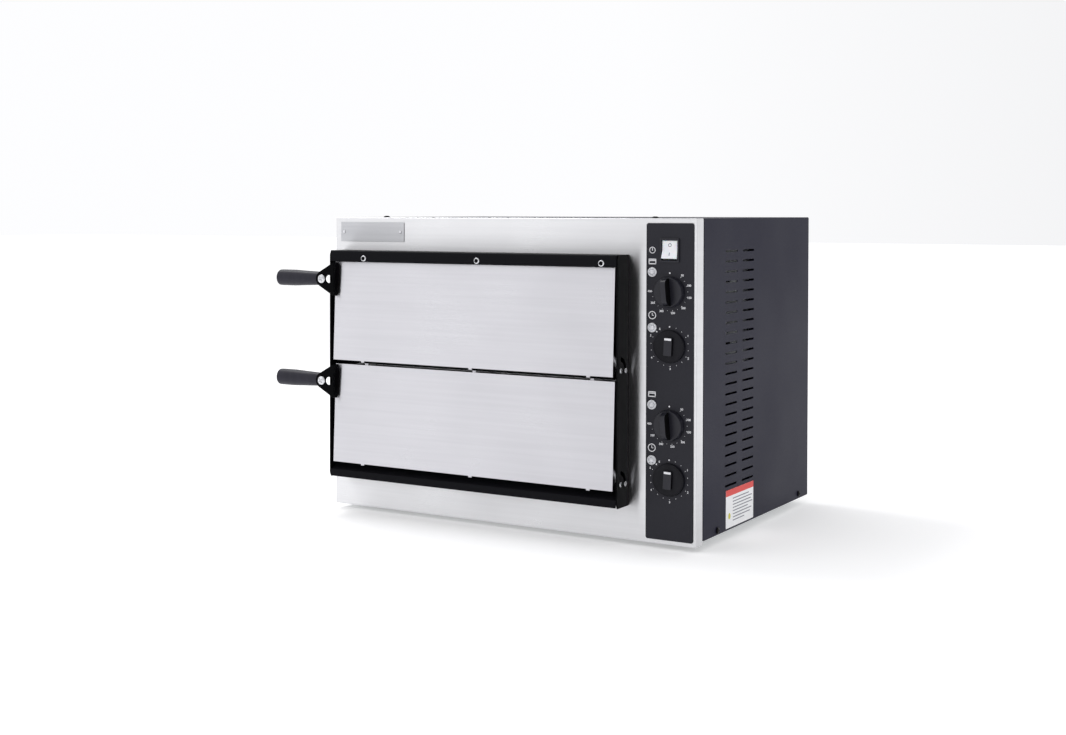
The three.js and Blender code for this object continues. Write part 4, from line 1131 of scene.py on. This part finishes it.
def add_side_label():
    """Blank data label: a coloured band, a plain spot and ruled bars, with no lettering."""
    node = "side_label"
    refine(node, LABEL, edge=0.05)
    plane = placed(middle(node, x=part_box(node)[1].x), RIGHT)
    width = extent(node).y
    left, bottom, top = -width / 2, -extent(node).z / 2, extent(node).z / 2
    band, spot, bars = bmesh.new(), bmesh.new(), bmesh.new()
    add_flat(band, rectangle(width, LABEL_BAND, (0, top - LABEL_BAND / 2)), plane)
    add_flat(spot, circle(4.2, (left + 13, bottom + 16), 40), plane)
    for row, length in enumerate(LABEL_BARS):
        place = (left + 26 + length / 2, top - 13.5 - row * BAR_PITCH)
        add_flat(bars, rectangle(length, BAR_HEIGHT, place), plane)
    for name, print_layer, ink in (("band", band, RED_INK), ("spot", spot, YELLOW_INK),
                                   ("bars", bars, GREY_INK)):
        dress(object_of(print_layer, f"side_label_{name}"), [ink], "shell")


# ---------- door frame


FRAME_SCREWS_X = (73, 261.3, 449.5)
FRAME_SCREWS_Z = 370.3
FRAME_SCREW_RADIUS, FRAME_SCREW_HEIGHT = 4.4, 2.2
HINGE_HEAD_HEIGHT, HINGE_SHANK_RADIUS = 2.1, 2.5
SHANK_ALLOWANCE = 3  # what the shank leaves of the pin's length for its head


def add_door_frame():
    for node in ("frame_left_cheek", "frame_right_cheek"):
        refine(node, FRAME_PAINT, edge=0.4, edge_segments=3)
    # the bars take the lighter copy of the frame paint, as painted light
    for node in ("frame_top_bar", "frame_bottom_bar", "frame_divider"):
        refine(node, LIT_BAR_PAINT, edge=0.3)
    bar_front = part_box("frame_top_bar")[0].y
    for index, x in enumerate(FRAME_SCREWS_X):
        origin = at(x, 0, FRAME_SCREWS_Z)
        origin.y = bar_front
        name = f"frame_screw_{index}"
        head = screw_head(name, origin, FRONT, FRAME_SCREW_RADIUS, FRAME_SCREW_HEIGHT, "hexagon")
        dress(head, [BRIGHT_ZINC], "shell")


def add_hinge_pins(deck):
    for side, axis in (("right", RIGHT), ("left", LEFT)):
        node = f"{deck}_hinge_pin_{side}"
        cheek_low, cheek_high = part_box(f"frame_{side}_cheek")
        origin = middle(node, x=cheek_high.x if side == "right" else cheek_low.x)
        radius = extent(node).z / 2
        head = screw_head(f"{node}_head", origin, axis, radius, HINGE_HEAD_HEIGHT, "hexagon")
        length = extent(node).x - SHANK_ALLOWANCE
        profile = [(0, 0), (HINGE_SHANK_RADIUS, 0), (HINGE_SHANK_RADIUS, length), (0, length)]
        shank = object_of(turned(profile, 32), f"{node}_shank", placed(origin, -axis))
        dress(shank, [BLACK_ZINC], "shell")
        stand_in(head, BRIGHT_ZINC, node)


# ---------- baking chambers


def tube_along(points, radius, sides=20):
    """Closed tube round a path in the frame, its section kept upright."""
    bm = bmesh.new()
    rims = []
    for index, point in enumerate(points):
        ahead = points[min(index + 1, len(points) - 1)] - points[max(index - 1, 0)]
        side = ahead.cross(UP).normalized()
        rims.append([
            bm.verts.new(point + (side * math.cos(turn) + UP * math.sin(turn)) * radius)
            for turn in (2 * math.pi * step / sides for step in range(sides))
        ])
    join_rims(bm, rims)
    bm.faces.new(list(reversed(rims[0])))
    bm.faces.new(rims[-1])
    bmesh.ops.recalc_face_normals(bm, faces=bm.faces)
    return bm


ELEMENT_RUNS = 4
ELEMENT_TO_WALL = 28
BEND_STEPS = 18


def element_path(deck, node):
    """Straight runs joined by half circles, both tails leaving to the right."""
    low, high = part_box(node)
    radius = (high.z - low.z) / 2
    first, last = low.y + radius, high.y - radius
    bend = (last - first) / (ELEMENT_RUNS - 1) / 2
    left = low.x + radius + bend
    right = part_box(f"{deck}_chamber")[1].x - ELEMENT_TO_WALL * MM - bend
    z = (low.z + high.z) / 2
    points = [Vector((high.x, first, z))]
    for run in range(ELEMENT_RUNS - 1):
        turns_left = run % 2 == 0
        centre = Vector((left if turns_left else right, first + (2 * run + 1) * bend, z))
        for step in range(BEND_STEPS + 1):
            turn = (step / BEND_STEPS - 0.5) * math.pi
            reach = math.cos(turn) * bend * (-1 if turns_left else 1)
            points.append(centre + Vector((reach, math.sin(turn) * bend, 0)))
    points.append(Vector((high.x, last, z)))
    return points, radius


def add_chamber_fittings(deck):
    for level in ("bottom", "top"):
        node = f"{deck}_{level}_element"
        path, radius = element_path(deck, node)
        stand_in(object_of(tube_along(path, radius), node + "_tube"), SHEATH, node)
    refine(f"{deck}_baking_stone", FIRECLAY, edge=1.6, edge_segments=3)


# ---------- doors


STOP_PIN_SWING, STOP_PIN_ANGLE = 15.2, math.radians(-3)
STOP_HEAD_RADIUS, STOP_HEAD_HEIGHT, STOP_HEAD_GAP = 3.4, 1.5, 0.25
TAB_WIDTH, TAB_SHEET = 5.5, 1.0
TABS_X = (70, 250, 430)
BRACKET_SHEET = 2.0
GRIP_NECK = 78  # where the turned grip ends and its flat tang starts
TANG_DEPTH, TANG_HEIGHT, TANG_GAP = 3.8, 15, 0.3


def add_stop_pin_head(deck):
    """Head of the pin that runs in the arc slot of the right cheek."""
    joint = next(j for j in frame["joints"] if j["name"] == f"{deck}_door_hinge")
    pivot = Vector(joint["pos_m"])
    cheek_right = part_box("frame_right_cheek")[1].x
    swing = Vector((0, math.cos(STOP_PIN_ANGLE), math.sin(STOP_PIN_ANGLE))) * STOP_PIN_SWING * MM
    origin = Vector((cheek_right + STOP_HEAD_GAP * MM, pivot.y, pivot.z)) + swing
    head = screw_head(f"{deck}_stop_pin_head", origin, RIGHT, STOP_HEAD_RADIUS,
                      STOP_HEAD_HEIGHT, "hexagon")
    dress(head, [BRIGHT_ZINC], f"{deck}_door")


def add_door_tabs(deck):
    """Small folded tabs that lock the door's skin to its liner, top and bottom."""
    low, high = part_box(f"{deck}_door_skin")
    top_height = 2.0 if deck == "lower" else 0.7
    # name, y, z, height (down is negative) and shift to the right
    rows = (
        ("bottom", low.y + 2.2 * MM, low.z, -1.9, 0),
        ("top", low.y + 8.7 * MM, high.z, top_height, 3),
    )
    for index, x in enumerate(TABS_X):
        for row, y, z, height, shift in rows:
            spot = Vector((at(x + shift, 0, 0).x, y, z))
            outline = rounded(rectangle(TAB_WIDTH, abs(height) + 1, (0, height / 2)), 0.5)
            tab = prism(outline, -TAB_SHEET / 2, TAB_SHEET / 2)
            piece = object_of(tab, f"{deck}_door_tab_{row}_{index}", placed(spot, FRONT))
            dress(bevelled(piece, 0.15, 2), [SHADED_DOOR_STEEL], f"{deck}_door")


def add_grip(node, plate_front):
    """Bead and cone turned grip, with a flat tang behind the bracket's plate."""
    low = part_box(node)[0]
    radius = extent(node).y / 2
    centre_z = middle(node).z
    profile = rounded([
        (0, 0), (radius - 0.4, 0.2), (radius, 6), (radius, 30), (radius - 0.9, 48),
        (9.8, GRIP_NECK), (0, GRIP_NECK),
    ], 2.6, closed=False, steps=6)
    axis = placed(Vector((low.x, low.y + radius * MM, centre_z)), RIGHT)
    stand_in(object_of(turned(profile, 72), node + "_finished", axis), GRIP_PLASTIC, node)
    left, right = GRIP_NECK - 3, extent(node).x
    outline = rounded(rectangle(right - left, TANG_HEIGHT, ((left + right) / 2, 0)), 4)
    back = plate_front + (BRACKET_SHEET + TANG_DEPTH) * MM
    plane = placed(Vector((low.x, back, centre_z)), FRONT)
    tang = object_of(prism(outline, 0, TANG_DEPTH - TANG_GAP), node + "_tang", plane)
    dress_part(bevelled(tang, 0.6), GRIP_PLASTIC, node)


def add_handle(deck):
    bracket = f"{deck}_handle_bracket"
    refine(bracket, FRAME_PAINT, edge=0.45, edge_segments=3)
    grip = f"{deck}_handle_grip"
    plate_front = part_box(bracket)[0].y
    add_grip(grip, plate_front)
    screw = f"{deck}_handle_screw"
    origin = middle(screw, y=plate_front, z=middle(grip).z)
    height = (plate_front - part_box(screw)[0].y) / MM
    head = screw_head(screw + "_head", origin, FRONT, extent(screw).x / 2, height, "cross", 0.5)
    stand_in(head, BRIGHT_ZINC, screw)


def add_door(deck):
    # the door skin takes the darker copy of the stainless, as painted shade
    refine(f"{deck}_door_skin", SHADED_DOOR_STEEL, fold=1.1)
    refine(f"{deck}_door_liner", ALUMINISED, fold=1.1)
    add_stop_pin_head(deck)
    add_door_tabs(deck)
    add_handle(deck)


# ---------- CAD nodes kept


def dress_kept_nodes():
    kept = {"terminal_block": BODY_PLASTIC, "control_compartment_wall": GALVANISED,
            "insulation_blanket": WOOL}
    for deck in DECKS:
        kept[f"{deck}_thermostat"] = BODY_PLASTIC
        kept[f"{deck}_timer"] = BODY_PLASTIC
    for node, material in kept.items():
        data = frame["nodes"][node].data
        data.materials.clear()
        data.materials.append(material)


# ---------- studio


def floor_finish():
    graph = Graph("studio_floor")
    tone = graph.noise(900, detail=2)
    return graph.surface(
        Base_Color=graph.mix(tone, (0.94, 0.94, 0.945, 1), (0.92, 0.92, 0.925, 1)),
        Roughness=0.8, Specular_IOR_Level=0.1, Emission_Color=(1, 1, 1, 1), Emission_Strength=0.3)


def add_floor():
    bm = bmesh.new()
    bmesh.ops.create_grid(bm, x_segments=1, y_segments=1, size=20)
    floor = object_of(bm, "studio_floor")
    floor.data.materials.append(floor_finish())


def add_softbox(name, location, width, height, radiance):
    data = bpy.data.lights.new(name, "AREA")
    data.shape = "RECTANGLE"
    data.size = width
    data.size_y = height
    data.energy = radiance * math.pi * width * height
    aim(in_scene(name, data), location, Vector(STUDIO_TARGET) - Vector(location))


WORLD_TONE = (0.985, 0.987, 1.0, 1)
WORLD_STRENGTH = (1.0, 0.66)  # on the left and on the right
WORLD_BLEND = (-0.4, 0.6)  # share of a direction's X where the change starts and ends
STUDIO_TARGET = (0, 0, 0.22)


def add_world():
    """White surround, a little dimmer towards the right."""
    world = bpy.data.worlds.new("studio")
    world.use_nodes = True
    tree = world.node_tree
    direction = tree.nodes.new("ShaderNodeTexCoord").outputs["Generated"]
    axes = tree.nodes.new("ShaderNodeSeparateXYZ")
    strength = tree.nodes.new("ShaderNodeMapRange")
    settings = {"From Min": WORLD_BLEND[0], "From Max": WORLD_BLEND[1],
                "To Min": WORLD_STRENGTH[0], "To Max": WORLD_STRENGTH[1]}
    for socket, value in settings.items():
        strength.inputs[socket].default_value = value
    background = tree.nodes["Background"]
    background.inputs["Color"].default_value = WORLD_TONE
    tree.links.new(direction, axes.inputs[0])
    tree.links.new(axes.outputs["X"], strength.inputs["Value"])
    tree.links.new(strength.outputs["Result"], background.inputs["Strength"])
    bpy.context.scene.world = world


def add_studio():
    add_floor()
    add_world()
    add_softbox("key_front_left", (-2.6, -2.6, 1.7), width=3.0, height=2.4, radiance=0.3)
    add_softbox("overhead", (-1.2, 0.2, 2.4), width=0.9, height=0.9, radiance=8.0)
    bpy.context.scene.view_settings.view_transform = "Standard"


# ---------- assembly

add_camera()
add_front_panel()
add_sheet_pieces()
add_cover_screws()
add_rear_screws()
add_feet()
add_cable_gland()
add_controls()
add_nameplate()
add_side_label()
add_door_frame()
for deck_name in DECKS:
    add_hinge_pins(deck_name)
    add_chamber_fittings(deck_name)
    add_door(deck_name)
dress_kept_nodes()
add_studio()
